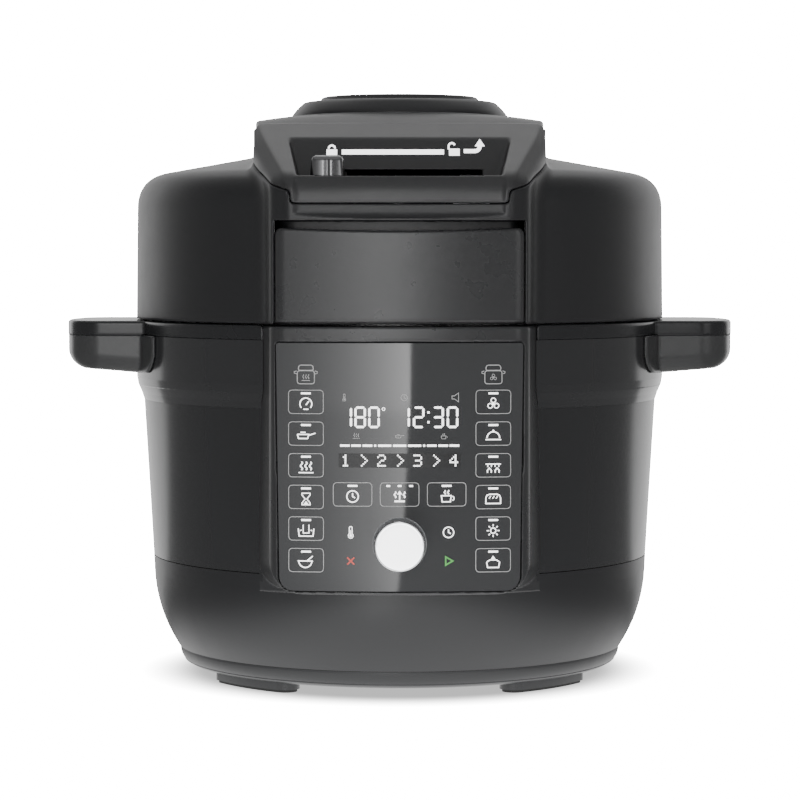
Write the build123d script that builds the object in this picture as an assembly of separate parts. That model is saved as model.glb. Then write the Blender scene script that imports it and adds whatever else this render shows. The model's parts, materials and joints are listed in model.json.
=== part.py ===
"""Countertop electric pressure cooker with a rear-hinged lid that holds a fan and a heating coil.

Millimetres, +Z up, +X to the right of the person in front, -Y towards them.
The origin is on the floor, on the axis of the cooking pot.
Each function below makes one piece, and the list at the end writes one STEP per piece.
"""

from build123d import *
import math
import os

# ---------------------------------------------------------------- driving sizes
WALL = 2.4                # moulded plastic wall
GAP = 0.4                 # joint line between two fixed covers

SEAM_Z = 206.0            # top of the base, where the lid sits down
LID_Z = SEAM_Z + 0.7      # bottom edge of the lid cover
BODY_R = 154.0            # collar and belt of the base
LID_TOP_R = 153.0         # lid wall just under its shoulder
SLEEVE_TOP_R = 149.8      # coated steel sleeve, top and bottom
SLEEVE_LOW_R = 144.6
SLEEVE_TOP_Z = 160.0
SLEEVE_LOW_Z = 69.0
BELT_TOP_Z = 197.6
COLLAR_Z = 198.0          # underside of the collar's rim band
FOOT_H = 5.5
SKIRT_R = 129.2
SKIRT_TOP_Z = 15.6

BIB_ROOT_X = 75.0         # front bulge, half width where it leaves the round body
BIB_FRONT_X = 68.5        # and at its front corners
BIB_CORNER_Y = -153.5
BIB_FRONT_Y = -159.5      # front of the bulge on the centre plane
BIB_LOW_Z = 60.0
PANEL_X = 66.3            # touch panel, half width at its top
PANEL_LOW_X = 64.6
PANEL_TOP_Z = 196.8
PANEL_LOW_Z = 63.6
PANEL_T = 2.0
FRONT_WALL = 4.4          # front wall of the bulge, with the seat of the panel in it
BOARD_Y = -148.2          # front face of the control board
BOARD_HOLES = [(x, z) for x in (-54, 54) for z in (80, 186)]

DIAL_Z = 89.0             # axis of the control dial, along Y
DIAL_R = 13.4
DIAL_Y = -174.0           # its front face

POT_R = 113.5             # cooking pot, outside
POT_FLOOR_Z = 46.0
POT_RIM_Z = 194.0
POT_WALL = 1.4
VESSEL_R = 118.5          # heating vessel, outside
VESSEL_RIM_Z = 192.4
LUG_R = 132.2             # inner edge of the base lugs
LUG_COUNT = 6
LUG_DEG = 20.0

HINGE_Y = 166.0
HINGE_Z = 212.5
PIN_R = 3.0
RUNNING = 0.08            # radial clearance of a pin in its hole
REAR_X = 47.0             # rear spine of the base, half width
REAR_Y = 171.5

SLOT_Z = 288.2            # height of the latch slot
LATCH_Y = -112.0          # straight line that the latch carriage follows
LATCH_X = -39.0           # its rest place, locked; it slides 78 to the other end
SLOT_HALF = 45.2

CAP_R = 63.0              # round cap on the lid
CAP_SEAT_Z = 318.6
TOP_Z = 336.0
VENT_XY = (40.0, 92.0)    # steam outlet on the lid's rear slope


# ---------------------------------------------------------------- helpers
def block(x0, x1, y0, y1, z0, z1):
    """An axis-aligned box between two corners."""
    return Pos((x0 + x1) / 2, (y0 + y1) / 2, (z0 + z1) / 2) * Box(x1 - x0, y1 - y0, z1 - z0)


def disc(r, z0, z1, x=0.0, y=0.0):
    """An upright cylinder."""
    return Pos(x, y, (z0 + z1) / 2) * Cylinder(r, z1 - z0)


def ring(r_in, r_out, z0, z1, x=0.0, y=0.0):
    """An upright tube."""
    return disc(r_out, z0, z1, x, y) - disc(r_in, z0 - 1, z1 + 1, x, y)


def rod_x(r, x0, x1, y, z):
    """A cylinder along X."""
    return Pos((x0 + x1) / 2, y, z) * Rot(0, 90, 0) * Cylinder(r, x1 - x0)


def rod_y(r, y0, y1, x, z):
    """A cylinder along Y."""
    return Pos(x, (y0 + y1) / 2, z) * Rot(90, 0, 0) * Cylinder(r, y1 - y0)


def turned(points, rounds=None):
    """Turned solid about Z from (radius, height) corners; rounds maps a corner's number to its radius."""
    face = make_face(Plane.XZ * Polyline(*points, close=True))
    for corner, radius in (rounds or {}).items():
        r, z = points[corner]
        near = face.vertices().sort_by_distance((r, 0, z))[0]
        face = fillet(near, radius)
    return revolve(face, Axis.Z)


def prism(points, z0, z1):
    """A plan outline raised from z0 to z1."""
    return Pos(0, 0, z0) * extrude(make_face(Polyline(*points, close=True)), z1 - z0)


def side_prism(points, x0, x1):
    """An outline of (y, z) corners carried along X."""
    face = make_face(Plane.YZ * Polyline(*points, close=True))
    return Pos(x0, 0, 0) * extrude(face, x1 - x0, dir=(1, 0, 0))


def sector(r_in, r_out, z0, z1, middle_deg, width_deg):
    """A piece of a flat ring, centred on middle_deg as measured from the front (-Y) towards +X."""
    reach = r_out * 2
    a, b = (math.radians(middle_deg - 90 + s * width_deg / 2) for s in (-1, 1))
    wedge = prism([(0, 0), (reach * math.cos(a), reach * math.sin(a)),
                   (reach * math.cos(b), reach * math.sin(b))],
                  z0, z1)
    return ring(r_in, r_out, z0, z1) & wedge


def at_deg(r, deg):
    """Plan point at radius r, deg measured from the front (-Y) towards +X."""
    a = math.radians(deg - 90)
    return r * math.cos(a), r * math.sin(a)


def softened(solid, edges, radius):
    """Rounds the edges, or leaves them sharp where the kernel can't."""
    try:
        done = fillet(edges, radius)
        return done if done.is_valid else solid
    except Exception:
        return solid


def bib(z0, z1, grow=0.0, corner=5.0, root_y=-118.0):
    """The front bulge between two heights; grow moves its walls out and corner rounds its front edges."""
    corner_x, corner_y = BIB_FRONT_X + grow, BIB_CORNER_Y - grow
    root_x = BIB_ROOT_X + grow
    sides = Polyline((corner_x, corner_y), (root_x, -131.0), (root_x, root_y), (-root_x, root_y),
                     (-root_x, -131.0), (-corner_x, corner_y))
    front = ThreePointArc((-corner_x, corner_y), (0, BIB_FRONT_Y - grow), (corner_x, corner_y))
    face = make_face([sides, front])
    fronts = face.vertices().sort_by(Axis.Y)[:2]
    return Pos(0, 0, z0) * extrude(fillet(fronts, max(corner + grow, 0.5)), z1 - z0)


# ---------------------------------------------------------------- base: covers
def body_cut(z0, z1):
    """What the front bulge and the rear spine take out of the round covers."""
    return bib(z0, z1, 0.2, root_y=-100) + block(-REAR_X - 0.2, REAR_X + 0.2, 110, 200, z0, z1)


def base_skirt():
    """Bottom tray: skirt with a rounded lower edge, a vented floor and four curved foot blocks."""
    tray = turned([(0, FOOT_H), (SKIRT_R, FOOT_H), (SKIRT_R, SKIRT_TOP_Z), (SKIRT_R - WALL, SKIRT_TOP_Z),
                   (SKIRT_R - WALL, FOOT_H + WALL), (0, FOOT_H + WALL)], {1: 9.0})
    for row in range(-3, 4):
        half = math.sqrt(70.0 ** 2 - (row * 15.0) ** 2)
        for x in (-half / 2, half / 2):
            tray -= Pos(x, row * 15.0, FOOT_H) * extrude(SlotOverall(half * 0.82, 5.0), 6, both=True)
    for deg in FOOT_DEGS:
        x, y = at_deg(112.0, deg)
        tray += foot_block(deg)
        tray -= disc(2.0, -1, 20, x, y)
    return tray


FOOT_DEGS = (-46.0, 46.0, 134.0, -134.0)
FOOT_SPAN = 24.0


def foot_arc(deg, r_in, r_out, z0, z1, span):
    """A curved foot with round ends."""
    foot = sector(r_in, r_out, z0, z1, deg, span)
    for end in (-span / 2, span / 2):
        x, y = at_deg((r_in + r_out) / 2, deg + end)
        foot += disc((r_out - r_in) / 2, z0, z1, x, y)
    return foot


def foot_block(deg):
    """The moulded part of a foot, between its rubber pad and the tray."""
    return foot_arc(deg, 106.0, 122.0, 1.6, FOOT_H + 1.0, FOOT_SPAN)


def foot_pads():
    """Four rubber pads that the cooker stands on."""
    return Compound([foot_arc(deg, 107.5, 120.5, 0.0, 1.6, FOOT_SPAN) - disc(2.0, -1, 3, *at_deg(112.0, deg))
                     for deg in FOOT_DEGS])


def lower_shell():
    """Moulded bowl under the steel sleeve."""
    low_z = SKIRT_TOP_Z + 0.3

    def bowl(inset, drop):
        wall = Plane.XZ * (ThreePointArc((130.0 - inset, low_z - drop), (138.8 - inset, 33.3),
                                         (144.2 - inset, 60.0))
                           + Line((144.2 - inset, 60.0), (SLEEVE_LOW_R - inset, SLEEVE_LOW_Z + drop))
                           + Polyline((SLEEVE_LOW_R - inset, SLEEVE_LOW_Z + drop), (0, SLEEVE_LOW_Z + drop),
                                      (0, low_z - drop), (130.0 - inset, low_z - drop)))
        return revolve(make_face(wall), Axis.Z)

    shell = bowl(0, 0) - bowl(WALL, 1)
    shell += ring(108, 128.5, low_z, low_z + 2.2)
    shell -= bib(BIB_LOW_Z - 0.2, 80, 0.2, root_y=-100)
    return shell - block(-REAR_X - 0.2, REAR_X + 0.2, 110, 200, 24.8, 80)


def steel_sleeve():
    """Dark coated steel wrapper around the middle of the base."""
    low, high = SLEEVE_LOW_Z + GAP, SLEEVE_TOP_Z
    sleeve = turned([(SLEEVE_LOW_R - 1.2, low), (SLEEVE_LOW_R, low), (SLEEVE_TOP_R, high),
                     (SLEEVE_TOP_R - 1.2, high)])
    return sleeve - body_cut(low - 1, high + 1)


def upper_belt():
    """Moulded belt that stands proud of the sleeve, with a chamfered lower edge."""
    low = SLEEVE_TOP_Z + 0.1
    belt = turned([(SLEEVE_TOP_R - WALL, low), (SLEEVE_TOP_R + 0.1, low), (151.2, 164.0), (153.2, 168.6),
                   (BODY_R, 173.0), (BODY_R, BELT_TOP_Z), (BODY_R - WALL, BELT_TOP_Z),
                   (BODY_R - WALL, 171.0)],
                  {3: 3.0})
    return belt - body_cut(low - 1, BELT_TOP_Z + 1)


EAR_X = 194.0
EAR_Y = 49.5
EAR_BOW = 8.6             # the handle's end bows out by this much
LIP = 8.6                 # rounded lip round the finger hollow under a handle
EAR_ROOT_X = 128.0
PAD_Y = 69.0              # half width of the handle's root on the belt


def ear_plan(inset, root=EAR_ROOT_X):
    """Plan outline of the right-hand handle ear as a face."""
    x, y = EAR_X - inset, EAR_Y - inset
    bowed = x - EAR_BOW
    face = make_face([Polyline((bowed, y), (root, y), (root, -y), (bowed, -y)),
                      ThreePointArc((bowed, -y), (x, 0), (bowed, y))])
    outer = [v for v in face.vertices() if v.X > bowed - 1]
    return fillet(outer, 16.0 - inset)


def mirrored(solid):
    """The same piece on the left side."""
    return mirror(solid, Plane.YZ)


def rim_collar():
    """Collar on top of the base, with the flat tops of both handles."""
    collar = disc(BODY_R, COLLAR_Z, SEAM_Z)
    ear = Pos(0, 0, COLLAR_Z) * extrude(ear_plan(0), SEAM_Z - COLLAR_Z)
    collar += [ear, mirrored(ear)]
    tops = [e for e in collar.edges().filter_by_position(Axis.Z, SEAM_Z - 0.01, SEAM_Z + 0.01)]
    collar = softened(collar, tops, 1.0)
    hollow = Pos(0, 0, COLLAR_Z - 1) * extrude(ear_plan(WALL, 160.0), SEAM_Z - COLLAR_Z - 1.6)
    collar -= [hollow, mirrored(hollow)]
    collar -= disc(141.4, COLLAR_Z - 1, SEAM_Z + 1)
    collar -= block(-REAR_X - 0.2, REAR_X + 0.2, 110, 200, COLLAR_Z - 1, SEAM_Z - 1.9)
    return collar - bib(COLLAR_Z - 1, SEAM_Z + 1, 0.2, root_y=-100.0)


def ear_grip():
    """Hollow right-hand handle under the collar: fingers go up into it from below."""
    top = COLLAR_Z - 0.2
    body = Pos(0, 0, 176.4) * extrude(ear_plan(0.2), top - 176.4)
    slope = Plane.XZ * make_face(Polyline((BODY_R - 30, 174.0), (EAR_X + 5, 179.6), (EAR_X + 5, 160),
                                          (BODY_R - 30, 160), close=True))
    body -= extrude(slope, 80, both=True)
    outer_low = [e for e in body.edges() if e.center().Z < 181 and e.bounding_box().max.X > EAR_X - 25
                 and e.center().X > BODY_R]
    body = softened(body, outer_low, 9.0)
    body -= Pos(0, 0, 170) * extrude(ear_plan(LIP, 160.0), 24.0)
    return body + ear_pad() - disc(BODY_R + 0.15, 150, 210)


def ear_pad():
    """Thin root of the handle that hugs the belt, with rounded lower corners."""
    face = Plane.YZ * make_face(Polyline((-PAD_Y, 176.4), (PAD_Y, 176.4), (PAD_Y, COLLAR_Z - 0.2),
                                         (-PAD_Y, COLLAR_Z - 0.2), close=True))
    lows = [v for v in face.vertices() if v.Z < 180]
    outline = Pos(100, 0, 0) * extrude(fillet(lows, 14.0), 80, dir=(1, 0, 0))
    return outline & ring(BODY_R + 0.15, BODY_R + 1.9, 170, 210)


# ---------------------------------------------------------------- base: front
def bib_front(z0, z1, corner):
    """Front view of the bulge as a long prism, with rounded lower corners."""
    face = Plane.XZ * make_face(Polyline((-BIB_ROOT_X, z0), (BIB_ROOT_X, z0), (BIB_ROOT_X, z1),
                                         (-BIB_ROOT_X, z1),
                                         close=True))
    lows = [v for v in face.vertices() if v.Z < z0 + 1]
    return Pos(0, -90, 0) * extrude(fillet(lows, corner), 100, dir=(0, -1, 0))


def control_fascia():
    """Bulged front housing of the base, with the panel's seat, a display window and the dial's hole."""
    low, high = BIB_LOW_Z, SEAM_Z - 0.3
    shell = bib(low, high) & bib_front(low, high, 16.0)
    inner_low, inner_high = low + WALL, high - WALL
    inner = bib(inner_low, inner_high, -FRONT_WALL, 3.0, root_y=-100)
    shell -= inner & bib_front(inner_low, inner_high, 13.0)
    for x, z in BOARD_HOLES:
        shell += rod_y(3.6, -152.4, BOARD_Y - 0.1, x, z)
        shell -= rod_y(1.6, -151.6, BOARD_Y, x, z)
    shell -= disc(142.0, low - 5, high + 5)
    shell -= front_seat(0.35)
    shell -= block(-35, 35, -165, -148, 123, 174)
    return shell - rod_y(DIAL_R + 1.2, -165, -156.4, 0, DIAL_Z) - rod_y(5.0, -165, -148, 0, DIAL_Z)


def front_seat(grow):
    """Space of the touch panel, larger by grow all round."""
    low, high = PANEL_LOW_Z - grow, PANEL_TOP_Z + grow
    outline = make_face(Plane.XZ * Polyline((-PANEL_LOW_X - grow, low), (PANEL_LOW_X + grow, low),
                                            (PANEL_X + grow, high), (-PANEL_X - grow, high), close=True))
    outline = fillet([v for v in outline.vertices() if v.Z < low + 1], 7.5 + grow)
    outline = fillet([v for v in outline.vertices() if v.Z > high - 1], 1.5 + grow)
    through = Pos(0, -120, 0) * extrude(outline, 60, dir=(0, -1, 0))
    depth = PANEL_T + 0.2 if grow else PANEL_T
    return through - Pos(0, depth, 0) * bib(low - 2, high + 2, 0.0, 0.5, root_y=-60)


def touch_panel():
    """Smoked touch overlay with a round hole for the dial. Its keys are touch zones, with no travel."""
    panel = front_seat(0.0) & bib(PANEL_LOW_Z - 1, PANEL_TOP_Z + 1, -0.15, 0.5)
    return panel - rod_y(DIAL_R + 1.2, -165, -140, 0, DIAL_Z)


def control_board():
    """Printed circuit board behind the touch panel."""
    board = block(-60, 60, BOARD_Y, BOARD_Y + 1.6, 74, 192)
    for x, z in BOARD_HOLES:
        board -= rod_y(1.6, -155, -145, x, z)
    return board


def board_screws():
    """Four screws that hold the control board to posts of the fascia."""
    back = BOARD_Y + 1.6
    return Compound([rod_y(1.5, BOARD_Y - 3.0, back, x, z) + rod_y(3.0, back, back + 1.8, x, z)
                     for x, z in BOARD_HOLES])


def display_module():
    """Light box of the numeric display, between the board and the touch panel."""
    return block(-34, 34, -155.4, BOARD_Y, 124, 173) - block(-31, 31, -157, -154.0, 127, 170)


def dial_encoder():
    """Fixed body of the rotary switch behind the dial."""
    body = block(-7, 7, -154.6, BOARD_Y, DIAL_Z - 7, DIAL_Z + 7)
    return body - rod_y(5.2, -153.4, -149.0, 0, DIAL_Z) - rod_y(3.0 + RUNNING, -160, -149.5, 0, DIAL_Z)


def dial_plunger():
    """Push contact inside the rotary switch: it travels with the dial but doesn't turn."""
    return rod_y(4.6, -152.6, -151.4, 0, DIAL_Z)


def dial_shaft():
    """Shaft of the dial, with its collar."""
    return rod_y(3.0, -164.0, -153.0, 0, DIAL_Z) + rod_y(4.4, -159.2, -157.4, 0, DIAL_Z)


def dial_knob():
    """Bright dial cap on the shaft."""
    knob = rod_y(DIAL_R - 1.2, DIAL_Y, -160.6, 0, DIAL_Z)
    knob = softened(knob, knob.edges().filter_by_position(Axis.Y, DIAL_Y - 0.1, DIAL_Y + 0.1), 1.2)
    knob -= rod_y(DIAL_R - 3.0, DIAL_Y + 2.6, -160.0, 0, DIAL_Z)
    knob += rod_y(5.4, DIAL_Y + 2.4, -161.0, 0, DIAL_Z)
    return knob - rod_y(3.0, -164.0, -160.0, 0, DIAL_Z)


def dial_ring():
    """Polished ring around the dial cap."""
    front = DIAL_Y + 1.6
    band = rod_y(DIAL_R, front, -160.6, 0, DIAL_Z) - rod_y(DIAL_R - 1.2, front - 1, -160, 0, DIAL_Z)
    return softened(band, band.edges().filter_by_position(Axis.Y, front - 0.1, front + 0.1), 0.4)


# ---------------------------------------------------------------- base: hot parts
def heating_vessel():
    """Deep drawn vessel that the cooking pot stands in, with a flat flange at its top."""
    floor = 24.0
    vessel = turned([(0, floor), (VESSEL_R, floor), (VESSEL_R, VESSEL_RIM_Z - 1.5),
                     (141.0, VESSEL_RIM_Z - 1.5),
                     (141.0, VESSEL_RIM_Z), (VESSEL_R - 1.5, VESSEL_RIM_Z), (VESSEL_R - 1.5, floor + 1.5),
                     (0, floor + 1.5)], {1: 6.0, 6: 4.5})
    return vessel - disc(70.0, floor - 1, floor + 3)


def lug_ring():
    """Steel mouth ring with inward lugs that the lid's lock ring closes under."""
    body = ring(137.0, 141.0, VESSEL_RIM_Z, 204.0)
    for k in range(LUG_COUNT):
        body += sector(LUG_R, 138.0, 200.6, 204.0, lug_deg(k), LUG_DEG)
    return body


def lug_deg(k):
    """Direction of lug k, measured from the front."""
    return 30.0 + k * 360.0 / LUG_COUNT


def heater_plate():
    """Cast aluminium heating plate on three feet, with a groove for its element and a hole for the sensor."""
    plate = turned([(20, 30), (88, 30), (92, 34), (92, POT_FLOOR_Z - 3.0), (86, POT_FLOOR_Z - 0.3),
                    (20, POT_FLOOR_Z - 0.3)])
    for deg in (0, 120, 240):
        plate += disc(5.0, 25.5, 31.0, *at_deg(80.0, deg))
    return plate - ring(60.9, 71.1, 28, 38.1)


def heater_element():
    """Sheathed heating element in the groove of the plate, with two straight terminals."""
    loop = Pos(0, 0, 33.5) * Torus(66.0, 4.2)
    loop -= block(-9, 9, 55, 80, 28, 40)
    for x in (-11.5, 11.5):
        loop += disc(2.4, 26.5, 33.5, x, 65.0)
    return loop


def sensor_button():
    """Spring-loaded temperature sensor that touches the pot's underside."""
    cup = disc(13.0, POT_FLOOR_Z - 6.0, POT_FLOOR_Z - 0.3) - disc(10.5, POT_FLOOR_Z - 7.0, POT_FLOOR_Z - 2.0)
    return cup + disc(4.0, 12.5, POT_FLOOR_Z - 1.0)


def sensor_seat():
    """Cup under the sensor that guides its stem."""
    seat = ring(14.5, 16.0, 15.0, 37.4) + disc(16.0, 15.0, 17.0) + ring(15.0, 76.0, 22.3, 23.8)
    return seat - disc(4.0 + RUNNING, 10, 18)


def coil_spring(radius, wire, z0, z1, turns):
    """An upright compression spring."""
    height = z1 - z0 - 2 * wire
    path = Helix(pitch=height / turns, height=height, radius=radius)
    coil = sweep(Plane(path @ 0, z_dir=path % 0) * Circle(wire), path=path)
    return Pos(0, 0, z0 + wire) * coil


def sensor_spring():
    """Spring between the sensor and its seat."""
    return coil_spring(8.0, 0.6, 17.2, POT_FLOOR_Z - 2.3, 6)


def cooking_pot():
    """Removable stainless cooking pot with a rolled rim."""
    pot = turned([(0, POT_FLOOR_Z), (POT_R, POT_FLOOR_Z), (POT_R, POT_RIM_Z - POT_WALL),
                  (120.4, POT_RIM_Z - POT_WALL),
                  (120.4, POT_RIM_Z), (POT_R - POT_WALL, POT_RIM_Z),
                  (POT_R - POT_WALL, POT_FLOOR_Z + POT_WALL),
                  (0, POT_FLOOR_Z + POT_WALL)], {1: 9.0, 6: 7.6})
    return pot


# ---------------------------------------------------------------- base: rear
def rear_spine():
    """Housing down the back of the base: it carries the hinge, the drip cup and the power inlet."""
    low, high = 25.0, 203.8
    spine = block(-REAR_X, REAR_X, 128, REAR_Y, low, high)
    spine = softened(spine, [e for e in spine.edges().filter_by(Axis.Z) if e.center().Y > 160], 9.0)
    spine -= block(-REAR_X + WALL, REAR_X - WALL, 120, REAR_Y - WALL, low + WALL, high - WALL)
    spine -= disc(142.0, low - 1, high + 1)
    spine -= block(-31, 31, REAR_Y - 22, REAR_Y + 5, 118, 166)
    pocket = block(-33.4, 33.4, REAR_Y - 23, REAR_Y - 0.5, 115.6, 168.4)
    spine += pocket - block(-31, 31, REAR_Y - 20.6, REAR_Y + 5, 118, 166)
    spine -= block(-15.2, 15.2, REAR_Y - 8, REAR_Y + 5, 36.8, 59.2)
    for x in (-19.5, 19.5):
        spine -= rod_y(1.7, REAR_Y - 5, REAR_Y + 1, x, 48)
    return spine


def drip_cup():
    """Clear cup behind the cooker that catches condensed steam; it pulls straight out backwards."""
    y0, y1 = REAR_Y - 20.0, REAR_Y + 2.0
    cup = block(-30.4, 30.4, y0, y1, 118.6, 165.0)
    cup = softened(cup, cup.edges().filter_by(Axis.Z), 3.0)
    cup -= block(-28.6, 28.6, y0 + 1.8, y1 - 1.8, 120.4, 170.0)
    grip = block(-12, 12, y1 - 0.2, y1 + 3.0, 150, 153)
    return cup + grip


def power_inlet():
    """Three-pole appliance socket in the spine."""
    y1 = REAR_Y + 1.4
    body = block(-15, 15, REAR_Y - 22, REAR_Y + 0.2, 37, 59) + block(-24, 24, REAR_Y, y1, 36, 60)
    well = block(-12.2, 12.2, REAR_Y - 17, y1 + 1, 39.8, 56.2)
    well = softened(well, [e for e in well.edges().filter_by(Axis.Y) if e.center().Z > 50], 4.0)
    body -= well
    for x in (-19.5, 19.5):
        body -= rod_y(1.7, REAR_Y - 5, y1 + 1, x, 48)
    return body


def inlet_pins():
    """Line, neutral and earth pins of the socket."""
    pins = [block(x - 1, x + 1, REAR_Y - 17.0, REAR_Y - 3.0, z - 2, z + 2)
            for x, z in ((-7.0, 45.5), (7.0, 45.5), (0.0, 50.5))]
    return Compound(pins)


def inlet_screws():
    """Two screws that hold the socket."""
    y = REAR_Y + 1.4
    return Compound([rod_y(3.0, y, y + 1.6, x, 48) + rod_y(1.6, y - 3.5, y + 0.5, x, 48)
                     for x in (-19.5, 19.5)])


def hinge_bracket():
    """Steel hinge bracket on the base with two outer knuckles."""
    bracket = block(-44, 44, 158.5, 170.5, 203.9, 206.1)
    for x0, x1 in ((-43.0, -31.0), (31.0, 43.0)):
        knuckle = rod_x(6.4, x0, x1, HINGE_Y, HINGE_Z)
        knuckle += block(x0, x1, HINGE_Y - 5.0, HINGE_Y + 4.0, 205.0, 211.0)
        bracket += knuckle - rod_x(PIN_R, -50, 50, HINGE_Y, HINGE_Z)
    return bracket


def hinge_pin():
    """Steel pin through both bracket knuckles and both lid knuckles."""
    return rod_x(PIN_R, -44.5, 44.5, HINGE_Y, HINGE_Z)


def hinge_springs():
    """Pair of torsion springs on the pin that lift the unlatched lid."""
    springs = []
    for x in (-9.6, 9.6):
        coil = coil_spring(4.4, 0.7, -6.5, 6.5, 7)
        springs.append(Pos(x, HINGE_Y, HINGE_Z) * Rot(0, 90, 0) * coil)
    return Compound(springs)


def power_board():
    """Main circuit board on the bottom tray, with its relay, transformer, capacitor and heat sink."""
    board = block(-46, 46, -96, -36, 11.4, 13.0)
    for x in (-42, 42):
        for y in (-92, -40):
            board -= disc(1.5, 10, 14, x, y)
    board += block(-36, -22, -88, -70, 12.9, 21.0)
    board += block(-12, 10, -86, -64, 12.9, 21.6)
    board += disc(5.5, 12.9, 20.5, 24, -78)
    return board + block(-30, 20, -56, -52, 12.9, 21.0)


def tray_screws():
    """Four screws that come up through the feet into the tray, and four that hold the main board."""
    screws = [disc(1.9, 1.0, 12.0, *at_deg(112.0, deg)) for deg in FOOT_DEGS]
    for x in (-42, 42):
        for y in (-92, -40):
            screws.append(disc(1.5, FOOT_H + WALL, 13.0, x, y) + disc(2.8, 13.0, 14.6, x, y))
    return Compound(screws)


# ---------------------------------------------------------------- lid: covers
BRIDGE_X = 81.4           # raised block across the top of the lid
NOSE_X = 60.5             # its front end
NOSE_Y = -157.0
SLOPE_TOP = (-84.0, 317.6)   # (y, z) where the sloped front starts and ends
SLOPE_LOW = (-157.0, 284.2)
BEZEL_LOW_Z = 271.6
LEDGE_Z = 262.8           # underside of the nose
BEZEL_REAR_Y = -67.0      # joint behind the top edge of the slope
BRIDGE_REAR_Y = 128.0


def slope_z(y, drop=0.0):
    """Height of the sloped front at y."""
    (y0, z0), (y1, z1) = SLOPE_TOP, SLOPE_LOW
    return z1 + (y - y1) * (z0 - z1) / (y0 - y1) - drop


def lid_dome(inset, low):
    """Round wall and shallow conical top of the lid."""
    r0, r1 = BODY_R - inset, LID_TOP_R - inset
    return turned([(0, low), (r0, low), (r1, 288.6 - inset), (88, 299.2 - inset), (0, 303.0 - inset)],
                  {2: 15.0 - inset})


def bridge(inset, low):
    """Raised block across the lid: straight flanks, a tapered nose and a crowned top."""
    x, nose_x, nose_y = BRIDGE_X - inset, NOSE_X - inset, NOSE_Y + inset
    plan = [(-x, SLOPE_TOP[0]), (-nose_x, nose_y), (nose_x, nose_y), (x, SLOPE_TOP[0]),
            (x, BRIDGE_REAR_Y - 26 - inset),
            (x - 24, BRIDGE_REAR_Y - inset), (-x + 24, BRIDGE_REAR_Y - inset),
            (-x, BRIDGE_REAR_Y - 26 - inset)]
    mass = prism(plan, low, 330)
    crown = Plane.XZ * make_face([ThreePointArc((-90, 317.4 - inset), (0, 324.6 - inset),
                                                (90, 317.4 - inset)),
                                  Polyline((90, 317.4 - inset), (90, 200), (-90, 200), (-90, 317.4 - inset))])
    mass &= extrude(crown, 180, both=True)
    steep = side_prism([(-60, slope_z(-60, inset)), (-170, slope_z(-170, inset)), (-170, 340), (-60, 340)],
                       -95, 95)
    rear = side_prism([(60, 330), (60, 319 - inset), (140, 296 - inset), (140, 330)], -95, 95)
    return mass - steep - rear


def lid_form(inset, low):
    """Whole outer form of the lid, made smaller by inset."""
    upright = bib(low, 276.0 - inset, -inset, 5.0, root_y=-100)
    return lid_dome(inset, low) + upright + bridge(inset, LEDGE_Z + inset)


def lid_shell():
    """Main cover of the lid, with the seats of its cap and vent, six screw posts and rear cooling slots."""
    outer = lid_form(0.0, LID_Z)
    shell = outer - lid_form(WALL, LID_Z - 5)
    shell += ring(43.0, 66.0, CAP_SEAT_Z - WALL, CAP_SEAT_Z)
    shell += disc(17.6, 302.6, 305.4, *VENT_XY)
    shell -= disc(CAP_R + 0.3, CAP_SEAT_Z, 340)
    shell -= disc(15.4, 305.4, 340, *VENT_XY)
    shell -= disc(9.2, 290, 310, *VENT_XY)
    for deg in SCREW_DEGS:
        x, y = at_deg(145.0, deg)
        post = disc(4.4, FRAME_Z + 4.2, 232.0, x, y) + sector(145.0, 153.0, FRAME_Z + 4.2, 232.0, deg, 1.2)
        shell += post - disc(2.1, 200, 226, x, y)
    shell -= bezel_space(0.25)
    shell -= cover_space(0.4)
    for side in (-1, 1):
        shell -= block(side * 24 - 6, side * 24 + 6, 140, 160, 200, HINGE_Z + 7.2)
        for row in range(5):
            shell -= Pos(side * 26.0, 150, 232 + row * 9.0) * Box(34, 30, 3.6)
    return shell


def cover_space(grow):
    """Space of the lid's front cover, larger by grow all round."""
    low, high = LID_Z + 1.0 - grow, 258.6 + grow
    half = 66.9 + grow
    outline = make_face(Plane.XZ * Polyline((-half, low), (half, low), (half, high), (-half, high),
                                            close=True))
    outline = fillet([v for v in outline.vertices() if v.Z > high - 1], 3.0)
    through = Pos(0, -120, 0) * extrude(outline, 60, dir=(0, -1, 0))
    depth = 2.0 if grow else 1.6
    return through - Pos(0, depth, 0) * bib(low - 2, high + 2, 0.0, 0.5, root_y=-60)


def lid_front_cover():
    """Smooth cover plate on the front of the lid."""
    return cover_space(0.0) & bib(LID_Z, 262.0, 0.0, 5.0)


def bezel_space(grow):
    """Space of the latch bezel in the lid: the nose of the bridge above its joint line."""
    x, nose_x = BRIDGE_X - 4.0 + grow, NOSE_X - 2.1 + grow
    plan = [(-x, BEZEL_REAR_Y + grow), (-x, -90), (-nose_x, NOSE_Y - 5), (nose_x, NOSE_Y - 5), (x, -90),
            (x, BEZEL_REAR_Y + grow)]
    return prism(plan, BEZEL_LOW_Z - grow, 340)


RECESS_X = 61.6           # recess of the latch knob, half width at its top and floor
RECESS_LOW_X = 54.4


def recess_space():
    """The trapezoid recess that the latch knob moves in."""
    back_y, floor_z = -121.0, 285.2
    side = side_prism([(-103.6, 312), (back_y, floor_z), (-151.0, floor_z), (-151.0, 330), (-103.6, 330)],
                      -RECESS_X, RECESS_X)
    front = Plane.XZ * make_face(Polyline((-RECESS_X, 309.4), (RECESS_X, 309.4), (RECESS_LOW_X, floor_z - 1),
                                          (-RECESS_LOW_X, floor_z - 1), close=True))
    return side & extrude(front, 200, both=True)


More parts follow.
